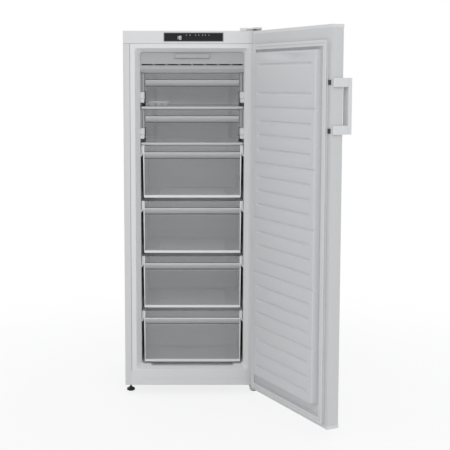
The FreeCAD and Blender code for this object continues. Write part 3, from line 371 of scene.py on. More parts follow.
cabinet_paint = finish_of("cabinet_paint", (209, 210, 210), 0.34, 1300, 0.012, 0.012, coat=0.15)
sheet = 0.0008
flange, back_fold, fold_radius = 0.0255, 0.012, 0.002
strip_low, strip_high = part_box("control_fascia")
clear = 0.05  # how far a cutting brick stands out past what it cuts
for name, edge, side in (("left", left_low.x, 1), ("right", right_high.x, -1)):
    route = [(edge + side * flange, front_y), (edge, front_y), (edge, back_y),
             (edge + side * back_fold, back_y)]
    mesh = as_mesh(folded_sheet(bent(route[::-side], fold_radius), sheet, left_low.z, left_high.z))
    mesh = cut_bricks(mesh, [((edge - clear, front_y - clear, strip_low.z),
                              (edge + clear, strip_high.y, left_high.z + clear))])
    new_piece(name + "_side", smoothed(mesh), cabinet_paint, "cabinet", "cabinet_paint",
              "side_panel_" + name)
dress(cabinet_paint, "top_panel")

# ---- Back ----
# Thin galvanised sheet, pressed with three broad shallow panels so that it lies stiff on the foam.
# Self-tapping screws with crossed recesses hold it along both sides.
back_steel = finish_of("back_steel", (196, 198, 199), 0.42, 700, 0.02, metal=0.45, crystals=0.06)
zinc_steel = finish_of("zinc_steel", (168, 171, 174), 0.40, 240, 0.03, metal=0.8, crystals=0.14)


def spread(low, high, count):
    """Even row of values from low to high."""
    return [low + (high - low) * i / (count - 1) for i in range(count)]


def slope(distance, run):
    """Soft step from 0 to 1 over a run."""
    t = min(max(distance / run, 0.0), 1.0)
    return t * t * (3 - 2 * t)


def inside_frame(x, z, frame_low, frame_high, radius):
    """How far a point lies inside an upright rectangle with rounded corners."""
    half_x, half_z = (frame_high[0] - frame_low[0]) / 2, (frame_high[1] - frame_low[1]) / 2
    dx = abs(x - frame_low[0] - half_x) - half_x + radius
    dz = abs(z - frame_low[1] - half_z) - half_z + radius
    return radius - math.hypot(max(dx, 0), max(dz, 0)) - min(max(dx, dz), 0)


def pressed_sheet(xs, zs, face_at, wall):
    """Closed sheet on a grid of lines, its face at face_at(x, z) and its wall behind that."""
    shape = bmesh.new()
    faces = [[shape.verts.new((x, face_at(x, z), z)) for x in xs] for z in zs]
    backs = [[shape.verts.new((v.co.x, v.co.y - wall, v.co.z)) for v in row] for row in faces]
    for rows in (faces, backs):
        for low, high in zip(rows, rows[1:]):
            for i in range(len(xs) - 1):
                shape.faces.new((low[i], low[i + 1], high[i + 1], high[i]))
    rims = [rows[0] + [row[-1] for row in rows[1:]] + rows[-1][-2::-1] + [row[0] for row in rows[-2:0:-1]]
            for rows in (faces, backs)]
    banded(shape, rims)
    return shape


def lathe(shape, profile, segments, place):
    """Adds a turned form to a shape: (radius, height) pairs up its axis, closed at both ends."""
    turns = [2 * math.pi * i / segments for i in range(segments)]
    rings = [[shape.verts.new(place @ Vector((radius * math.cos(t), radius * math.sin(t), height)))
              for t in turns] for radius, height in profile]
    banded(shape, rings)
    shape.faces.new(rings[0][::-1])
    shape.faces.new(rings[-1])


def drawn_across(shape, outline, x0, x1):
    """Adds a solid with a (y, z) outline, drawn from x0 to x1."""
    ends = [[shape.verts.new((x, y, z)) for y, z in outline] for x in (x0, x1)]
    banded(shape, ends)
    shape.faces.new(ends[0][::-1])
    shape.faces.new(ends[1])


def growing_tree(name, *inputs):
    """Empty geometry recipe with a mesh and named inputs going in, and a mesh coming out."""
    tree = bpy.data.node_groups.new(name, "GeometryNodeTree")
    tree.interface.new_socket("Geometry", in_out="INPUT", socket_type="NodeSocketGeometry")
    for label, kind in inputs:
        tree.interface.new_socket(label, in_out="INPUT", socket_type="NodeSocket" + kind)
    tree.interface.new_socket("Geometry", in_out="OUTPUT", socket_type="NodeSocketGeometry")
    return tree, tree.nodes.new("NodeGroupInput"), tree.nodes.new("NodeGroupOutput")


def finished(tree, last, start, end):
    """Ends a recipe: what its last node grew is made real and given its finish."""
    real, paint = added(tree, "GeometryNodeRealizeInstances"), added(tree, "GeometryNodeSetMaterial")
    wired(tree, (last, 0, real, 0), (real, 0, paint, "Geometry"), (start, "Finish", paint, "Material"),
          (paint, 0, end, 0))
    return tree


def make_copies_tree():
    """Copies of one small part, one on each point, its axis along the point's facing."""
    tree, start, end = growing_tree("copies_on_points", ("Part", "Object"), ("Size", "Float"),
                                    ("Finish", "Material"))
    part = added(tree, "GeometryNodeObjectInfo")
    facing = added(tree, "GeometryNodeInputNamedAttribute", data_type="FLOAT_VECTOR", Name="facing")
    aim = added(tree, "FunctionNodeAlignRotationToVector", axis="Z")
    copies = added(tree, "GeometryNodeInstanceOnPoints")
    wired(tree, (start, "Part", part, "Object"), (start, "Geometry", copies, "Points"),
          (part, "Geometry", copies, "Instance"), (facing, "Attribute", aim, "Vector"),
          (aim, 0, copies, "Rotation"), (start, "Size", copies, "Scale"))
    return finished(tree, copies, start, end)


copies_tree = make_copies_tree()


def grown(mesh, tree, **values):
    """What a recipe grows from a mesh of points or lines, as one plain mesh."""
    sockets = {item.name: item.identifier for item in tree.interface.items_tree if item.in_out == "INPUT"}

    def grow(holder):
        step = holder.modifiers.new("grow", "NODES")
        step.node_group = tree
        for label, value in values.items():
            step[sockets[label]] = value
    return worked(mesh, grow)


def copies(part_mesh, places, finish, size=1.0):
    """Copies of a small part, one for each (place, facing)."""
    points = bpy.data.meshes.new("points")
    points.from_pydata([place for place, facing in places], [], [])
    facings = points.attributes.new("facing", "FLOAT_VECTOR", "POINT")
    for i, (place, facing) in enumerate(places):
        facings.data[i].vector = facing
    part = placed("part", part_mesh)
    plain = grown(points, copies_tree, Part=part, Size=size, Finish=finish)
    bpy.data.objects.remove(part)
    return plain


low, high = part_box("rear_panel")
panel_depth, panel_slope, panel_gap, panel_margin, panel_corner = 0.0018, 0.006, 0.030, 0.050, 0.02
panel_width = (high.x - low.x - 2 * panel_margin - 2 * panel_gap) / 3
panel_foot, panel_head = low.z + panel_margin, high.z - panel_margin
panels = []
for i in range(3):
    x = low.x + panel_margin + i * (panel_width + panel_gap)
    panels.append(((x, panel_foot), (x + panel_width, panel_head)))


def back_face(x, z):
    """Depth of the back's face at a point."""
    inside = [inside_frame(x, z, *panel, panel_corner) for panel in panels]
    return high.y - panel_depth * max(slope(depth, panel_slope) for depth in inside)


edge_steps = (-0.001, 0, 0.0015, 0.003, 0.0045, 0.006, 0.010, 0.015, 0.021)
xs, zs = {low.x, high.x}, {low.z, high.z}
for step in edge_steps:
    xs |= {a[0] + step for a, _ in panels} | {b[0] - step for _, b in panels}
    zs |= {panel_foot + step, panel_head - step}
mesh = as_mesh(pressed_sheet(sorted(xs), sorted(zs), back_face, sheet))
new_piece("rear_sheet", smoothed(mesh), back_steel, "cabinet", "back_steel", "rear_panel")

head_radius, head_height = 0.0036, 0.0009
shape = bmesh.new()
lathe(shape, [(head_radius, -0.001), (head_radius, 0.0002), (head_radius * 0.9, head_height * 0.6),
              (head_radius * 0.6, head_height)], 16, Matrix.Identity(4))
head = as_mesh(shape)
arm, half = 0.0022, 0.0004
cross = []
for turn in range(4):
    for y, z in ((arm, -half), (arm, half), (half, half)):
        for _ in range(turn):
            y, z = -z, y
        cross.append((y, z))
shape = bmesh.new()
drawn_across(shape, cross, head_height * 0.3, head_height * 2)
recess = as_mesh(shape)
recess.transform(Matrix.Rotation(-math.pi / 2, 4, "Y"))
screw_head = cut_away(head, recess)
screw_inset, screw_end, screw_count = 0.012, 0.03, 8
screw_rows = [(Vector((x, high.y, z)), (0, 1, 0)) for x in (low.x + screw_inset, high.x - screw_inset)
              for z in spread(low.z + screw_end, high.z - screw_end, screw_count)]
new_piece("rear_screws", copies(screw_head, screw_rows, zinc_steel), None, "cabinet", "zinc_steel")
dress(zinc_steel, "base_pan", "machine_bay_wall", "compressor_tray")

# ---- Insulation ----
# Rigid foam blown between the steel and the liner of the cabinet and of the door.  It follows the
# pressed back, and the hot tubes of the condenser lie in it, against the steel sides.


def copy_of(node):
    """A CAD node's mesh as a copy with whole faces, ready for more work."""
    shape = bmesh.new()
    shape.from_mesh(nodes[node].data)
    bmesh.ops.remove_doubles(shape, verts=shape.verts, dist=2e-5)
    bmesh.ops.join_triangles(shape, faces=shape.faces, angle_face_threshold=math.radians(0.5),
                             angle_shape_threshold=math.radians(60))
    mesh = bpy.data.meshes.new("making")
    shape.to_mesh(mesh)
    shape.free()
    return mesh


foam = finish_of("foam", (232, 221, 178), 0.9, 260, 0.5, 0.06)
dress(foam, "door_foam")
foam_sink = panel_depth + 2 * sheet
hollows = [((a[0], high.y - sheet - foam_sink, a[1]), (b[0], high.y + clear, b[1])) for a, b in panels]
new_piece("cabinet_insulation", cut_bricks(copy_of("cabinet_foam"), hollows), foam, "cabinet", "foam",
          "cabinet_foam")
copper = finish_of("copper_tube", (184, 128, 92), 0.3, 500, 0.01, 0.08, metal=0.9)
dress(copper, "condenser_coils")

# ---- Inner liner ----
# One sheet of white plastic, drawn over a mould into the food space with its widened mouth,
# the ledges that carry the drawers and the shallow channel in the floor.  Its edge stands back
# from the folded steel, and a grey strip sunk in the fine joint is painted shadow for the joint.


def rounded(mesh, radius, segments=2, angle=28):
    """The mesh with its edges rounded to a radius in millimetres."""
    def bevel(holder):
        step = holder.modifiers.new("rounding", "BEVEL")
        step.width, step.segments = radius / 1000, segments
        step.limit_method, step.angle_limit = "ANGLE", math.radians(angle)
        step.harden_normals = True
    return worked(mesh, bevel)


liner_white = finish_of("liner_white", (221, 222, 223), 0.36, 1600, 0.01, 0.015)
seam_width, seam_sink, seam_depth, on_edge = 0.0018, 0.0007, 0.0015, 0.0002
low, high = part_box("inner_liner")
mesh = copy_of("inner_liner")
edges = (left_low.x + flange, right_high.x - flange)
for vertex in mesh.vertices:
    for edge, side in zip(edges, (1, -1)):
        if abs(vertex.co.x - edge) < on_edge:
            vertex.co.x += side * seam_width
new_piece("liner", rounded(mesh, 1.5), liner_white, "cabinet", "liner_plastic", "inner_liner")
# Painted shadow: a grey strip sunk in the joint stands for its shade.
joint_shadow_grey = finish_of("joint_shadow_grey", (132, 134, 136), 0.7, 600, 0.03, 0.05)
shape = bmesh.new()
for edge, side in zip(edges, (1, -1)):
    block(shape, (edge, front_y + seam_sink, low.z),
          (edge + side * seam_width, front_y + seam_depth, strip_low.z))
new_piece("joint_sealant", as_mesh(shape), joint_shadow_grey, "cabinet", "grey_rubber")

# ---- Evaporator and fan ----
# Aluminium fins on a tube, with a heater under them and a trough that drains the melt water.
# The fan above draws air up through the fins; the rear cover hides all of it.


def eased(name, node, finish, body, slot, radius, segments=2, angle=28, bricks=()):
    """A CAD node's shape with its sharp edges rounded, as a moulding or a folded sheet has."""
    mesh = copy_of(node)
    if bricks:
        mesh = cut_bricks(mesh, bricks)
    return new_piece(name, rounded(mesh, radius, segments, angle), finish, body, slot, node)


def make_pipe_tree():
    """Round pipe along a line of edges, its corners bent to a radius."""
    tree, start, end = growing_tree("pipe_on_path", ("Radius", "Float"), ("Bend", "Float"),
                                    ("Sides", "Int"), ("Finish", "Material"))
    line = added(tree, "GeometryNodeMeshToCurve")
    turn = added(tree, "GeometryNodeFilletCurve", mode="POLY", Count=10)
    ring = added(tree, "GeometryNodeCurvePrimitiveCircle")
    pipe = added(tree, "GeometryNodeCurveToMesh", Fill_Caps=True)
    wired(tree, (start, "Geometry", line, "Mesh"), (line, 0, turn, "Curve"),
          (start, "Bend", turn, "Radius"), (turn, 0, pipe, "Curve"), (start, "Radius", ring, "Radius"),
          (start, "Sides", ring, "Resolution"), (ring, 0, pipe, "Profile Curve"))
    return finished(tree, pipe, start, end)


pipe_tree = make_pipe_tree()


def pipe(points, radius, bend, finish, sides=16):
    """Pipe through a row of points."""
    line = bpy.data.meshes.new("line")
    line.from_pydata(points, [(i, i + 1) for i in range(len(points) - 1)], [])
    return smoothed(grown(line, pipe_tree, Radius=radius, Bend=bend, Sides=sides, Finish=finish))


def joined(*meshes):
    """Several meshes with one finish as one."""
    shape = bmesh.new()
    for mesh in meshes:
        shape.from_mesh(mesh)
    whole = bpy.data.meshes.new("making")
    shape.to_mesh(whole)
    shape.free()
    whole.materials.append(meshes[0].materials[0])
    return smoothed(whole)


fin_metal = finish_of("fin_metal", (196, 200, 204), 0.3, 500, 0.01, 0.04, metal=0.95)
fin_thickness, fin_count, tube_rows, tube_radius, tube_bend = 0.0004, 44, 3, 0.004, 0.018
fin_start, fin_stop, fin_depth, tube_end = 0.004, 0.020, 0.026, 0.005
low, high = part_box("evaporator")
shape = bmesh.new()
block(shape, (low.z - high.z, -fin_depth, 0), (0, 0, fin_thickness))
fins = [(Vector((x, low.y + fin_depth, low.z)), (1, 0, 0))
        for x in spread(low.x + fin_start, high.x - fin_stop, fin_count)]
fin_pack = copies(as_mesh(shape), fins, fin_metal)
ends = [low.x + fin_start, high.x - tube_end]
route = []
for row in range(tube_rows):
    z = low.z + (high.z - low.z) / tube_rows * (row + 0.5)
    route += [(x, low.y + fin_depth / 2, z) for x in ends]
    ends.reverse()
new_piece("fin_coil", joined(fin_pack, pipe(route, tube_radius, tube_bend, fin_metal)), None, "cabinet",
          "coil_aluminium", "evaporator")
heater_steel = finish_of("heater_steel", (120, 116, 112), 0.35, 500, 0.01, 0.05, metal=0.9)
low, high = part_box("defrost_heater")
radius = (high.z - low.z) / 2
near, far, end, z = low.y + radius, high.y - radius, high.x - radius, low.z + radius
route = [(low.x, near, z), (end, near, z), (end, far, z), (low.x, far, z)]
new_piece("heater_rod", pipe(route, radius, 0.006, heater_steel), None, "cabinet", "tube_steel",
          "defrost_heater")
trim_white = finish_of("trim_white", (222, 224, 225), 0.25, 1200, 0.01, 0.01)
eased("melt_trough", "drain_trough", trim_white, "cabinet", "white_plastic", 0.8)
motor_metal = finish_of("motor_metal", (120, 123, 126), 0.4, 300, 0.02, 0.06, metal=0.7)
dress(motor_metal, "fan_motor")
fan_grey = finish_of("fan_grey", (74, 77, 80), 0.45, 900, 0.01, 0.04)
eased("fan_wheel", "fan_blade", fan_grey, "fan", "fan_plastic", 0.4)

# ---- Rear and ceiling ducts ----
# Moulded covers that hide the coil and lead cold air along the ceiling, with a row of air slots.
# A clear-white cover in the ceiling duct hides the lamp.  The ceiling cover and the lamp cover
# are toned grey, darker than the duct plastic, as painted shade under the mouth's top edge.
duct_white = finish_of("duct_white", (206, 207, 208), 0.4, 1400, 0.01, 0.015)
eased("rear_cover", "rear_duct_cover", duct_white, "cabinet", "white_plastic", 0.8)
# Painted shade: a greyer copy of the duct plastic for the ceiling cover.
ceiling_cover_painted_shade = finish_of("ceiling_cover_painted_shade", (170, 172, 173), 0.4, 1400, 0.01, 0.015)
eased("ceiling_cover", "ceiling_duct_cover", ceiling_cover_painted_shade, "cabinet", "white_plastic", 1.2, 3)
# Painted shade: the clear-white lamp cover toned grey.
lamp_cover_painted_shade = finish_of("lamp_cover_painted_shade", (160, 162, 163), 0.3, 900, 0.01, 0.01)
eased("lamp_cover", "lamp_lens", lamp_cover_painted_shade, "cabinet", "lamp_lens", 1.5, 3)

# ---- Machine bay ----
# A compressor on rubber mounts, welded from two deep-drawn steel shells, with its copper pipes,
# a tray for melt water on top of it, and the supply inlet at the back.
compressor_black = finish_of("compressor_black", (38, 39, 41), 0.28, 300, 0.05, 0.08, coat=0.4,
                             dust=0.5)
low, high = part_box("compressor")
foot_plate, terminal_half = 0.003, 0.022
terminal_near, terminal_far, terminal_low, terminal_high = 0.060, 0.092, 0.030, 0.078
shell_x, shell_y = (low.x + high.x) / 2, (low.y + high.y) / 2
shell_radius, weld_radius = 0.0695, 0.072
seam_z, dome = low.z + 0.088, 0.044
profile = [(0.040, low.z + 0.0005), (0.058, low.z + 0.006), (0.066, low.z + 0.016),
           (shell_radius, low.z + 0.030), (shell_radius, seam_z - 0.004), (weld_radius, seam_z - 0.003),
           (weld_radius, seam_z + 0.001), (shell_radius, seam_z + 0.003), (shell_radius, high.z - dome)]
for turn in map(math.radians, (12, 24, 36, 48, 60, 70, 79, 86)):
    profile.append((shell_radius * math.cos(turn), high.z - dome + dome * math.sin(turn)))
shape = bmesh.new()
lathe(shape, profile, 96, Matrix.Translation((shell_x, shell_y, 0)))
shell = smoothed(as_mesh(shape, compressor_black), 50)
shape = bmesh.new()
block(shape, low, (high.x, high.y, low.z + foot_plate))
block(shape, (shell_x + terminal_near, shell_y - terminal_half, low.z + terminal_low),
      (shell_x + terminal_far, shell_y + terminal_half, low.z + terminal_high))
stand = rounded(as_mesh(shape, compressor_black), 2.0, 3)
new_piece("compressor_can", joined(shell, stand), None, "cabinet", "compressor_enamel", "compressor")
rubber = finish_of("rubber", (62, 62, 63), 0.75, 400, 0.05, 0.08, dust=0.4)
low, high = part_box("compressor_grommets")
mount_half = 0.008
profile = [(mount_half, low.z), (mount_half, low.z + 0.003), (0.0055, low.z + 0.0045),
           (0.0055, high.z - 0.004), (0.0078, high.z - 0.0025), (0.0078, high.z)]
shape = bmesh.new()
for x in (low.x + mount_half, high.x - mount_half):
    for y in (low.y + mount_half, high.y - mount_half):
        lathe(shape, profile, 24, Matrix.Translation((x, y, 0)))
new_piece("compressor_mounts", smoothed(as_mesh(shape)), rubber, "cabinet", "grey_rubber",
          "compressor_grommets")

low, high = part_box("refrigerant_tubes")
pipe_radius, pipe_bend, pipe_out, pipe_lift, pipe_start = 0.003, 0.016, 0.022, 0.012, 0.05
far_x, foot_z = high.x - pipe_radius, low.z + pipe_radius
pipes = [pipe([(shell_x + pipe_start, y, z), (x, y, z), (x, y, high.z)], pipe_radius, pipe_bend, copper)
         for x, y, z in ((far_x, low.y + pipe_radius, foot_z),
                         (far_x - pipe_out, high.y - pipe_radius, foot_z + pipe_lift))]
new_piece("copper_pipes", joined(*pipes), None, "cabinet", "tube_steel", "refrigerant_tubes")
dark_plastic = finish_of("dark_plastic", (48, 49, 51), 0.5, 900, 0.02, 0.05, dust=0.25)
eased("melt_tray", "drip_tray", dark_plastic, "cabinet", "dark_plastic", 1.5, 3)
eased("cord_entry", "supply_inlet", dark_plastic, "cabinet", "dark_plastic", 1.0, 3)

# ---- Plinth strip ----
# Moulded strip of white plastic under the sill.  It closes the gap below the cabinet's front edge
# and clips to the floor sheet behind it.
strip_white = finish_of("strip_white", (216, 217, 217), 0.32, 1500, 0.01, 0.012)
eased("plinth", "bottom_trim", strip_white, "cabinet", "trim_plastic", 1.0)

# ---- Feet ----
# Two screw feet at the front, each a moulded disc with a knurled rim on a steel stud, and two
# moulded blocks at the rear.
foot_black = finish_of("foot_black", (40, 41, 43), 0.5, 700, 0.02, 0.05, dust=0.2)
knurls, knurl_radius, disc_height, rim_inset = 36, 0.0009, 0.011, 0.0006
knurl_low, knurl_high = 0.0018, disc_height - 0.0022
shape = bmesh.new()
lathe(shape, [(knurl_radius, knurl_low), (knurl_radius, knurl_high)], 8, Matrix.Identity(4))
knurl = smoothed(as_mesh(shape))
for side in ("left", "right"):
    name = "foot_" + side
    low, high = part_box(name)
    x, y, radius = (low.x + high.x) / 2, (low.y + high.y) / 2, (high.x - low.x) / 2 - rim_inset
    shape = bmesh.new()
    lathe(shape, [(radius * 0.82, 0.0), (radius - 0.002, 0.0006), (radius - rim_inset, 0.002),
                  (radius - rim_inset, knurl_high), (radius - 0.002, disc_height - 0.0006),
                  (0.009, disc_height), (0.0075, disc_height + 0.003), (0.004, disc_height + 0.0032),
                  (0.004, high.z - 0.001), (0.003, high.z)], 48, Matrix.Translation((x, y, low.z)))
    disc = smoothed(as_mesh(shape, foot_black))
    turns = [2 * math.pi * i / knurls for i in range(knurls)]
    rim = [(Vector((x + (radius - rim_inset) * math.cos(t), y + (radius - rim_inset) * math.sin(t), low.z)),
            (0, 0, 1)) for t in turns]
    new_piece("levelling_" + name, joined(disc, copies(knurl, rim, foot_black)), None, name, "foot_plastic",
              name)
eased("rear_blocks", "rear_feet", foot_black, "cabinet", "foot_plastic", 1.5)
dress(zinc_steel, "foot_nuts")

# ---- Control strip ----
# Moulded strip across the top with a glossy black window set in a fine grey frame; digits and
# lamps light up behind it.  A joint below it runs across the whole width.


def four_bars(shape, low, high, width, up):
    """Adds four bars that frame a box, as broad as width along x and along the axis up."""
    for axis, other in ((up, 0), (0, up)):
        for end in (0, 1):
            a, b = list(low), list(high)
            if end:
                a[axis] = b[axis] - width
            else:
                b[axis] = a[axis] + width
            if axis == 0:
                a[other] += width
                b[other] -= width
            block(shape, a, b)


joint_height, joint_depth = 0.0026, 0.0023
eased("control_strip", "control_fascia", strip_white, "cabinet", "trim_plastic", 1.0, 3,
      bricks=[((strip_low.x - clear, strip_low.y - clear, strip_low.z - clear),
               (strip_high.x + clear, strip_low.y + joint_depth, strip_low.z + joint_height))])
gloss_black = finish_of("gloss_black", (30, 31, 33), 0.16, 900, 0.002, 0.02)
gloss_black.node_tree.nodes["Principled BSDF"].inputs["Specular IOR Level"].default_value = 0.1
eased("display_pane", "display_window", gloss_black, "cabinet", "display", 0.4)
board_green = finish_of("board_green", (28, 74, 52), 0.5, 400, 0.05, 0.1)
dress(board_green, "control_board")
low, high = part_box("display_window")
frame_grey = finish_of("frame_grey", (132, 134, 136), 0.35, 1200, 0.004, 0.02)
bezel, bezel_inset, bezel_sink, bezel_depth = 0.0022, 0.0038, 0.0002, 0.0012
shape = bmesh.new()
four_bars(shape, (low.x, front_y + bezel_sink, low.z + bezel_inset),
          (high.x, front_y + bezel_depth, high.z - bezel_inset), bezel, 2)
new_piece("display_frame", as_mesh(shape), frame_grey, "cabinet", "display")

glow = finish_of("lamp_glow", (240, 243, 246), 0.4, 900, 0.001, 0.01)
surface = glow.node_tree.nodes["Principled BSDF"]
surface.inputs["Emission Color"].default_value = (0.93, 0.96, 1.0, 1)
surface.inputs["Emission Strength"].default_value = 0.35
lit_front, lit_back = front_y + 0.0003, front_y + 0.0009
middle = (low.x + high.x) / 2
digit_left, digit_low = middle - 0.0665, low.z + 0.0125
digit_width, digit_height, stroke, digit_pitch = 0.0072, 0.0135, 0.0012, 0.0112
half, far, top = digit_height / 2, digit_width - stroke, digit_height - stroke
strokes = {"a": (0, top, digit_width, stroke), "b": (far, half, stroke, half), "c": (far, 0, stroke, half),
           "d": (0, 0, digit_width, stroke), "e": (0, 0, stroke, half), "f": (0, half, stroke, half),
           "g": (0, half - stroke / 2, digit_width, stroke)}
shape = bmesh.new()
for place, lit in enumerate(("bc", "abcdefg")):
    for letter in lit:
        x, z, width, height = strokes[letter]
        x += digit_left + place * digit_pitch
        z += digit_low
        block(shape, (x, lit_front, z), (x + width, lit_back, z + height))
lamp_z, lamp_half, lamp_height = high.z - 0.0138, 0.0016, 0.0005
for x in (-0.0275, -0.0135, 0.0075, 0.0205, 0.0345, 0.0465, 0.0605):
    x += middle
    block(shape, (x - lamp_half, lit_front, lamp_z - lamp_height),
          (x + lamp_half, lit_back, lamp_z + lamp_height))
new_piece("display_lamps", as_mesh(shape), glow, "cabinet", "display")

# ---- Glass shelves ----
# Two panes of plain toughened glass over the drawers.  Each lies loose on the liner's ledges and
# has a moulded trim pressed on along its front edge.
shelf_glass = finish_of("shelf_glass", (206, 222, 216), 0.05, 600, 0.0, 0.0, see_through=0.35)
eased("shelf_panes", "glass_shelves", shelf_glass, "cabinet", "glass", 0.6)
edge_grey = finish_of("edge_grey", (188, 190, 191), 0.3, 1200, 0.01, 0.01)
eased("shelf_edges", "shelf_trims", edge_grey, "cabinet", "white_plastic", 1.2)

# ---- Flap mounts ----
# At each side of a flap a white block with two rounded lobes holds its pin, and a slim strip
# with a slot carries on up to the shelf above, with a stop behind the flap's edge.  The strip
# is toned grey as painted shade.
mount_low, mount_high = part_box("flap_hinge_blocks")
mount_width = 0.0153
# Painted shade: the strips' plastic toned grey.
flap_strip_painted_shade = finish_of("flap_strip_painted_shade", (160, 162, 164), 0.4, 1300, 0.01, 0.02)
block_white = finish_of("block_white", (205, 207, 208), 0.3, 1200, 0.01, 0.01)
lobe_front, lobe_back, lobe_low, lobe_high = 0.024, 0.056, -0.008, 0.036
lobes = [(lobe_front, lobe_low), (lobe_front, 0.003), (0.0265, 0.0055), (0.0265, 0.0085),
         (lobe_front, 0.011), (lobe_front, 0.027), (0.027, 0.033), (0.032, lobe_high),
         (lobe_back, lobe_high), (lobe_back, lobe_low)]
cheek, cheek_low = 0.002, 0.007
strip_front, strip_back, stop_back, stop_reach = 0.030, 0.047, 0.050, 0.007
slot_place, slot_width = 0.0055, 0.0028
lobe_shape, strip_shape = bmesh.new(), bmesh.new()
for flap in ("flap_lower", "flap_upper"):
    pivot = Vector(joints[flap + "_pivot"]["pos_m"])
    foot, top = pivot.z + lobe_high + 0.0005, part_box(flap)[1].z - 0.001
    for side, outer in ((-1, mount_low.x), (1, mount_high.x)):
        inner = outer - side * mount_width
        drawn_across(lobe_shape, [(front_y + y, pivot.z + z) for y, z in lobes], outer, inner)
        block(lobe_shape, (inner, front_y + strip_front, pivot.z + cheek_low),
              (inner - side * cheek, front_y + lobe_back - cheek, pivot.z + lobe_high - cheek))
        slot = outer - side * slot_place
        for x0, x1 in ((outer, slot), (slot - side * slot_width, inner)):
            block(strip_shape, (x0, front_y + strip_front, foot), (x1, front_y + strip_back, top))
        block(strip_shape, (outer, front_y + strip_back, foot),
              (inner - side * stop_reach, front_y + stop_back, top))
new_piece("flap_blocks", rounded(as_mesh(lobe_shape), 0.8), block_white, "cabinet", "white_plastic",
          "flap_hinge_blocks")
new_piece("flap_strips", rounded(as_mesh(strip_shape), 0.5), flap_strip_painted_shade, "cabinet", "white_plastic")

# ---- Clear fronts ----
# Flaps and drawer fronts are moulded alike, of clear plastic with a smoky tint and one wall
# throughout: a rim, a rolled grip with a fine frosted texture, and a crease above and below it.
# The faces along both creases get a darker, denser tint as painted shade, and the top of the
# roll a near-white one as a painted highlight.
smoky = finish_of("smoky", (180, 181, 182), 0.14, 1200, 0.004, 0.02, see_through=0.29)
# Painted shade on the creases and a painted highlight on the roll's top, as separate finishes.
crease_painted_shade = finish_of("crease_painted_shade", (112, 113, 115), 0.18, 1200, 0.004, 0.02, see_through=0.7)
roll_top_painted_highlight = finish_of("roll_top_painted_highlight", (238, 239, 240), 0.22, 1500, 0.01, 0.02, see_through=0.92)
frosted = finish_of("frosted", (196, 198, 199), 0.30, 1500, 0.02, 0.03, see_through=0.62)
grip_section = [(0, 0), (8, 0), (17, 0.1), (22, 0.1), (25, -0.5), (27, -1.1), (28.2, -0.4), (28.8, 1.6),
                (29.8, 4.6), (31.6, 7.2), (34.2, 8.7), (37.5, 9.0), (41, 8.2), (44.5, 6.2), (47.5, 3.6),
                (49.6, 1.4), (51.2, -0.3), (52.8, -1.0), (54.5, -0.6), (56.5, -0.1), (59, 0), (60.6, 0.5),
                (61.8, 0.4), (63, -0.6), (64.5, -1.5)]
grip_reach, front_wall = 0.009, 0.0024
# Finish zones: 1 the frosted grip, 2 the painted shade of the creases, 3 the painted highlight on the
# roll's top.
finish_zones = ((24.9, 28.4, 2), (28.1, 31.7, 3), (31.5, 50, 1), (49.5, 54.6, 2))


def clear_front(left, right, low_z, high_z, face):
    """Clear moulded front between two sides, its face at that depth.  The section's (drop, out)
    pairs and the zones, each a top, a foot and its finish's number, are in millimetres."""
    outer = [(face - out / 1000, high_z - drop / 1000) for drop, out in grip_section]
    outer.append((outer[-1][0], low_z))
    inner = []
    for i, (y, z) in enumerate(outer):
        before, after = outer[max(i - 1, 0)], outer[min(i + 1, len(outer) - 1)]
        along = Vector((after[0] - before[0], after[1] - before[1])).normalized()
        inner.append((y - along.y * front_wall, z + along.x * front_wall))
    inner[0] = (outer[0][0] + front_wall, outer[0][1])
    inner[-1] = (outer[-1][0] + front_wall, outer[-1][1])
    shape = bmesh.new()
    rows = [[shape.verts.new((x, y, z)) for y, z in outer + inner[::-1]] for x in (left, right)]
    for made in banded(shape, rows):
        drops = [(high_z - corner.co.z) * 1000 for corner in made.verts]
        made.material_index = next((number for top, foot, number in finish_zones
                                    if min(drops) >= top and max(drops) <= foot), 0)
    for i in range(len(outer) - 1):
        for row in rows:
            shape.faces.new((row[i], row[-1 - i], row[-2 - i], row[i + 1]))
    mesh = as_mesh(shape, smoky, frosted, crease_painted_shade, roll_top_painted_highlight)
    mesh.shade_smooth()
    return rounded(mesh, 0.7, 2, 50)


pin_radius, pin_sink, collar_radius, collar_length, pin_tip = 0.003, 0.008, 0.0042, 0.0085, 0.0006
side_gap = 0.005
sides = (mount_low.x + mount_width + side_gap, mount_high.x - mount_width - side_gap)
for name, flap in (("lower_flap", "flap_lower"), ("upper_flap", "flap_upper")):
    low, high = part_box(flap)
    pivot = Vector(joints[flap + "_pivot"]["pos_m"])
    panel = clear_front(*sides, low.z, high.z, low.y + grip_reach)
    shape = bmesh.new()
    shape.from_mesh(panel)
    for side, edge, end in ((-1, sides[0], low.x), (1, sides[1], high.x)):
        length = abs(end - edge) + pin_sink
        place = Matrix.Translation((edge - side * pin_sink, pivot.y, pivot.z))
        profile = [(collar_radius, 0.0), (collar_radius, collar_length),
                   (pin_radius, collar_length + 0.001), (pin_radius, length - pin_tip),
                   (pin_radius - pin_tip, length)]
        lathe(shape, profile, 24, place @ Matrix.Rotation(side * math.pi / 2, 4, "Y"))
    shape.to_mesh(panel)
    shape.free()
    new_piece(name, panel, None, flap, "clear_front", flap)

# ---- Drawers ----
# Four injection-moulded tubs, each with a clear front clipped into its open end.
# They slide on the liner's ledges.
tub_white = finish_of("tub_white", (226, 227, 228), 0.3, 1200, 0.01, 0.02)
for number in range(1, 5):
    body = f"drawer_{number}"
    eased(f"tub_{number}", f"drawer_{number}_tub", tub_white, body, "drawer_plastic", 0.8)
    low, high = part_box(f"drawer_{number}_front")
    new_piece(f"front_{number}", clear_front(low.x, high.x, low.z, high.z, low.y + grip_reach), None, body,
              "clear_front", f"drawer_{number}_front")

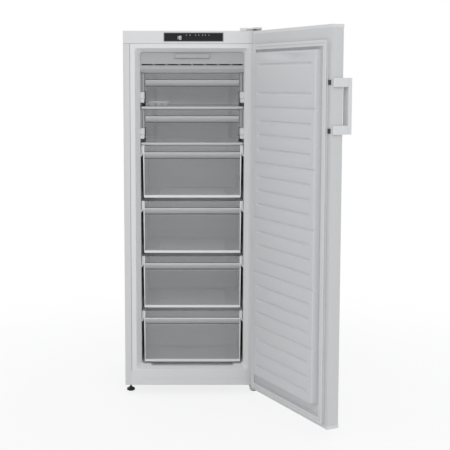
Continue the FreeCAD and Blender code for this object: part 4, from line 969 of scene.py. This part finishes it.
# ---- Ice tray ----
# Soft moulded tray that lies loose on the upper shelf: rows of tapering cups hang from one rim.
low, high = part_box("ice_tray")
cup_columns, cup_rows, cup_wall, cup_draft, cup_gap, brim_height = 3, 6, 0.0012, 0.0030, 0.0022, 0.006
cup_x, cup_y = (high.x - low.x - 2 * cup_wall) / cup_columns, (high.y - low.y - 2 * cup_wall) / cup_rows
cup_height, cup_foot = high.z - low.z - brim_height, cup_gap + cup_draft
shape = bmesh.new()
rings = []
for inset, z in ((0, cup_height), (cup_gap, cup_height - cup_wall), (cup_foot, 0.0015),
                 (cup_foot + 0.002, 0.0), (cup_foot + 0.0026, cup_wall),
                 (cup_foot + cup_wall, 2 * cup_wall), (cup_gap + cup_wall, cup_height)):
    x, y = cup_x / 2 - inset, cup_y / 2 - inset
    rings.append([shape.verts.new(corner) for corner in ((-x, -y, z), (x, -y, z), (x, y, z), (-x, y, z))])
banded(shape, rings[:4])
banded(shape, rings[4:] + rings[:1])
for ring in rings[3:5]:  # the floor of the cup, outside and inside
    shape.faces.new(ring)
cup = rounded(as_mesh(shape), 0.9)
cups = [(Vector((low.x + cup_wall + cup_x * (i + 0.5), low.y + cup_wall + cup_y * (j + 0.5), low.z)),
         (0, 0, 1)) for i in range(cup_columns) for j in range(cup_rows)]
shape = bmesh.new()
brim_lap = 0.001
four_bars(shape, (low.x, low.y, low.z + cup_height - brim_lap), high, cup_wall, 1)
edge_strip = rounded(as_mesh(shape, trim_white), 0.4)
new_piece("ice_cube_tray", joined(edge_strip, copies(cup, cups, trim_white)), None, "ice_tray",
          "white_plastic", "ice_tray")

# ---- Door shell ----
# One steel sheet folded round the door's face and both edges, painted as the cabinet is, with a
# moulded cap at each end; its paint is given a darker tone than the cabinet's as painted shade.
# The door is built shut here and then swung open on its hinge.
hinge = joints["door_hinge"]
hinge_line = Vector(hinge["pos_m"])
stands_open = Matrix.Rotation(math.radians(-hinge["range_deg"][0]), 4, hinge["axis"])
swing = Matrix.Translation(hinge_line) @ stands_open @ Matrix.Translation(-hinge_line)
seal_gap, door_depth = 0.012, 0.050
door_inner, door_outer = front_y - seal_gap, front_y - seal_gap - door_depth
skin_inset, skin_lip, skin_radius = 0.0005, 0.010, 0.003
door_half = (right_high.x - left_low.x) / 2
skin_half = door_half - skin_inset
skin_low, skin_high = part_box("door_skin")[0].z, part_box("door_skin")[1].z
liner_wall = 0.0016


def swung(mesh):
    """A door piece's mesh, from shut to where the door stands."""
    mesh.transform(swing)
    return mesh


liner_back = door_inner - liner_wall
skin_outer = door_outer + skin_inset
route = [(middle_x + x, y) for x, y in (
    (skin_half - skin_lip, liner_back), (skin_half, liner_back), (skin_half, skin_outer),
    (-skin_half, skin_outer), (-skin_half, liner_back), (-skin_half + skin_lip, liner_back))]
shape = folded_sheet(bent(route, skin_radius)[::-1], sheet, skin_low, skin_high)
# Painted shade: the cabinet's paint in a darker tone for the door.
door_paint_painted_shade = finish_of("door_paint_painted_shade", (202, 203, 203), 0.34, 1300, 0.012, 0.012, coat=0.15)
new_piece("door_steel", swung(smoothed(as_mesh(shape))), door_paint_painted_shade, "door", "cabinet_paint", "door_skin")
eased("bottom_cap", "door_bottom_cap", strip_white, "door", "trim_plastic", 1.0, 3)
eased("top_cap", "door_top_cap", strip_white, "door", "trim_plastic", 1.0, 3)
bush_white = finish_of("bush_white", (225, 225, 222), 0.4, 600, 0.01, 0.02)
dress(bush_white, "door_bushes")

# ---- Door liner ----
# White plastic sheet drawn over a mould: a raised middle that fills the cabinet's mouth, with
# level grooves that stiffen it.  Every fourth groove crosses the whole middle, the one under the
# plain second bay included; a shallow plain panel lies above the first.
door_white = finish_of("door_white", (205, 206, 208), 0.38, 1500, 0.01, 0.012)
raised_low, raised_high, raised_half, raised_height = 0.108, 1.373, 0.216, 0.026
raised_corner, shoulder = 0.016, 0.0085
groove_first, groove_pitch, groove_bays = 1.320, 0.053, 23
groove_half, groove_floor, groove_side, groove_depth = 0.182, 0.0022, 0.0045, 0.0036
panel_left, panel_right = -door_half + 0.192, -door_half + 0.343
panel_low, panel_high = 1.341, 1.360
panel_sink, panel_edge, panel_corner = 0.0009, 0.0018, 0.002
last_groove_gap = 0.030
grooves = []
for bay in range(groove_bays + 1):
    z = groove_first - groove_pitch * bay
    if bay != 1 and z > raised_low + last_groove_gap:
        grooves.append((z, bay % 4 == 3))
raised_frame = ((-raised_half, raised_low), (raised_half, raised_high))


def liner_face(x, z):
    """Depth of the liner's face at a point, x measured from the door's middle."""
    depth = slope(inside_frame(x - middle_x, z, *raised_frame, raised_corner), shoulder)
    face = door_inner + raised_height * depth
    for level, whole in grooves:
        if abs(z - level) < groove_floor + groove_side:
            past = 0.0 if whole else max(0.0, abs(x - middle_x) - groove_half + groove_floor)
            away = math.hypot(z - level, past)
            face -= groove_depth * depth * (1 - slope(away - groove_floor, groove_side))
    inset = inside_frame(x - middle_x, z, (panel_left, panel_low), (panel_right, panel_high), panel_corner)
    return face - panel_sink * slope(inset, panel_edge)


shoulder_steps = (-0.002, 0.0, 0.0008, 0.0017, 0.0028, 0.0042, 0.0057, 0.0068, 0.0077, 0.0085, 0.0105,
                  0.014, 0.017)
end_steps = (-0.006, -0.0045, -0.003, -0.0015, 0.0, 0.0015, 0.003, 0.0045, 0.0055)
groove_steps = (0, 0.0022, 0.0036, 0.0048, 0.0060, 0.0071)
xs = {0.0, skin_half} | {raised_half - step for step in shoulder_steps}
xs |= {groove_half + end for end in end_steps}
xs |= {-x for x in xs} | {panel_left, panel_left + panel_edge, panel_right - panel_edge, panel_right}
zs = {skin_low, skin_high, panel_low, panel_low + panel_edge, panel_high - panel_edge, panel_high}
zs |= {raised_low + step for step in shoulder_steps} | {raised_high - step for step in shoulder_steps}
zs |= {level + side * step for level, whole in grooves for step in groove_steps for side in (-1, 1)}
xs, zs = [middle_x + x for x in sorted(xs)], sorted(zs)
zs = [z for i, z in enumerate(zs) if i == 0 or z - zs[i - 1] > 0.0003]
new_piece("door_inside", swung(smoothed(as_mesh(pressed_sheet(xs, zs, liner_face, liner_wall)), 60)),
          door_white, "door", "liner_plastic", "door_liner")

# ---- Door seal ----
# Soft extruded profile, mitred at the corners and pressed into the liner: a foot, two thin
# bellows and a flat hollow bar on top, grooved along its middle, that holds the magnet.
seal_grey = finish_of("seal_grey", (212, 213, 214), 0.5, 1500, 0.01, 0.02)
seal_section = [(1.5, 0), (0.4, 1.0), (2.0, 2.6), (4.8, 3.4), (3.2, 5.2), (4.9, 7.2), (1.4, 7.9),
                (0.3, 8.9), (0.3, 10.6), (1.4, 11.6), (9.8, 11.6), (10.6, 9.6), (12.2, 9.6), (13.0, 11.2),
                (19.2, 11.2), (20.6, 10.7), (21.2, 9.6), (20.6, 8.3), (18.3, 7.3), (19.9, 5.3),
                (18.2, 3.5), (20.9, 2.6), (22.8, 1.2), (22.4, 0)]  # (inset, height) in millimetres
seal_inset, seal_low, seal_high = 0.018, 0.052, 1.400
seal_half = door_half - seal_inset
shape = bmesh.new()
loops = []
for inset, height in seal_section:
    x, y = seal_half - inset / 1000, door_inner + height / 1000
    low_z, high_z = seal_low + inset / 1000, seal_high - inset / 1000
    loops.append([shape.verts.new((middle_x + side * x, y, z)) for side, z in
                  ((-1, low_z), (1, low_z), (1, high_z), (-1, high_z))])
banded(shape, loops + loops[:1])
new_piece("door_seal", swung(rounded(as_mesh(shape), 0.35, 2, 20)), seal_grey, "door", "gasket",
          "door_gasket")

# ---- Handle ----
# Moulded bar on two arms that clamp round the door's free edge.  Screws hold the arms from the
# inner face, and caps hide their heads.
handle_white = finish_of("handle_white", (214, 216, 217), 0.3, 1500, 0.01, 0.012)
eased("handle_clamps", "handle_arms", handle_white, "door", "handle_plastic", 1.5, 3)
eased("handle_grip", "handle_bar", handle_white, "door", "handle_plastic", 1.2, 3)
eased("handle_caps", "handle_screw_caps", dark_plastic, "door", "dark_plastic", 0.6)

# ---- Hinges ----
# Pressed steel brackets with a pin each; screws hold the upper one under a moulded cover that is
# open towards the door.
dress(zinc_steel, "hinge_bracket_upper", "hinge_screws")
dress(cabinet_paint, "hinge_bracket_lower")
low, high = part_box("hinge_cover")
mouth_start, mouth_depth, mouth_height = 0.024, 0.004, 0.0045
mouth = ((low.x + mouth_start, low.y - clear, low.z - clear),
         (high.x + clear, front_y + mouth_depth, low.z + mouth_height))
eased("hinge_cap", "hinge_cover", strip_white, "cabinet", "trim_plastic", 1.0, 3, bricks=[mouth])
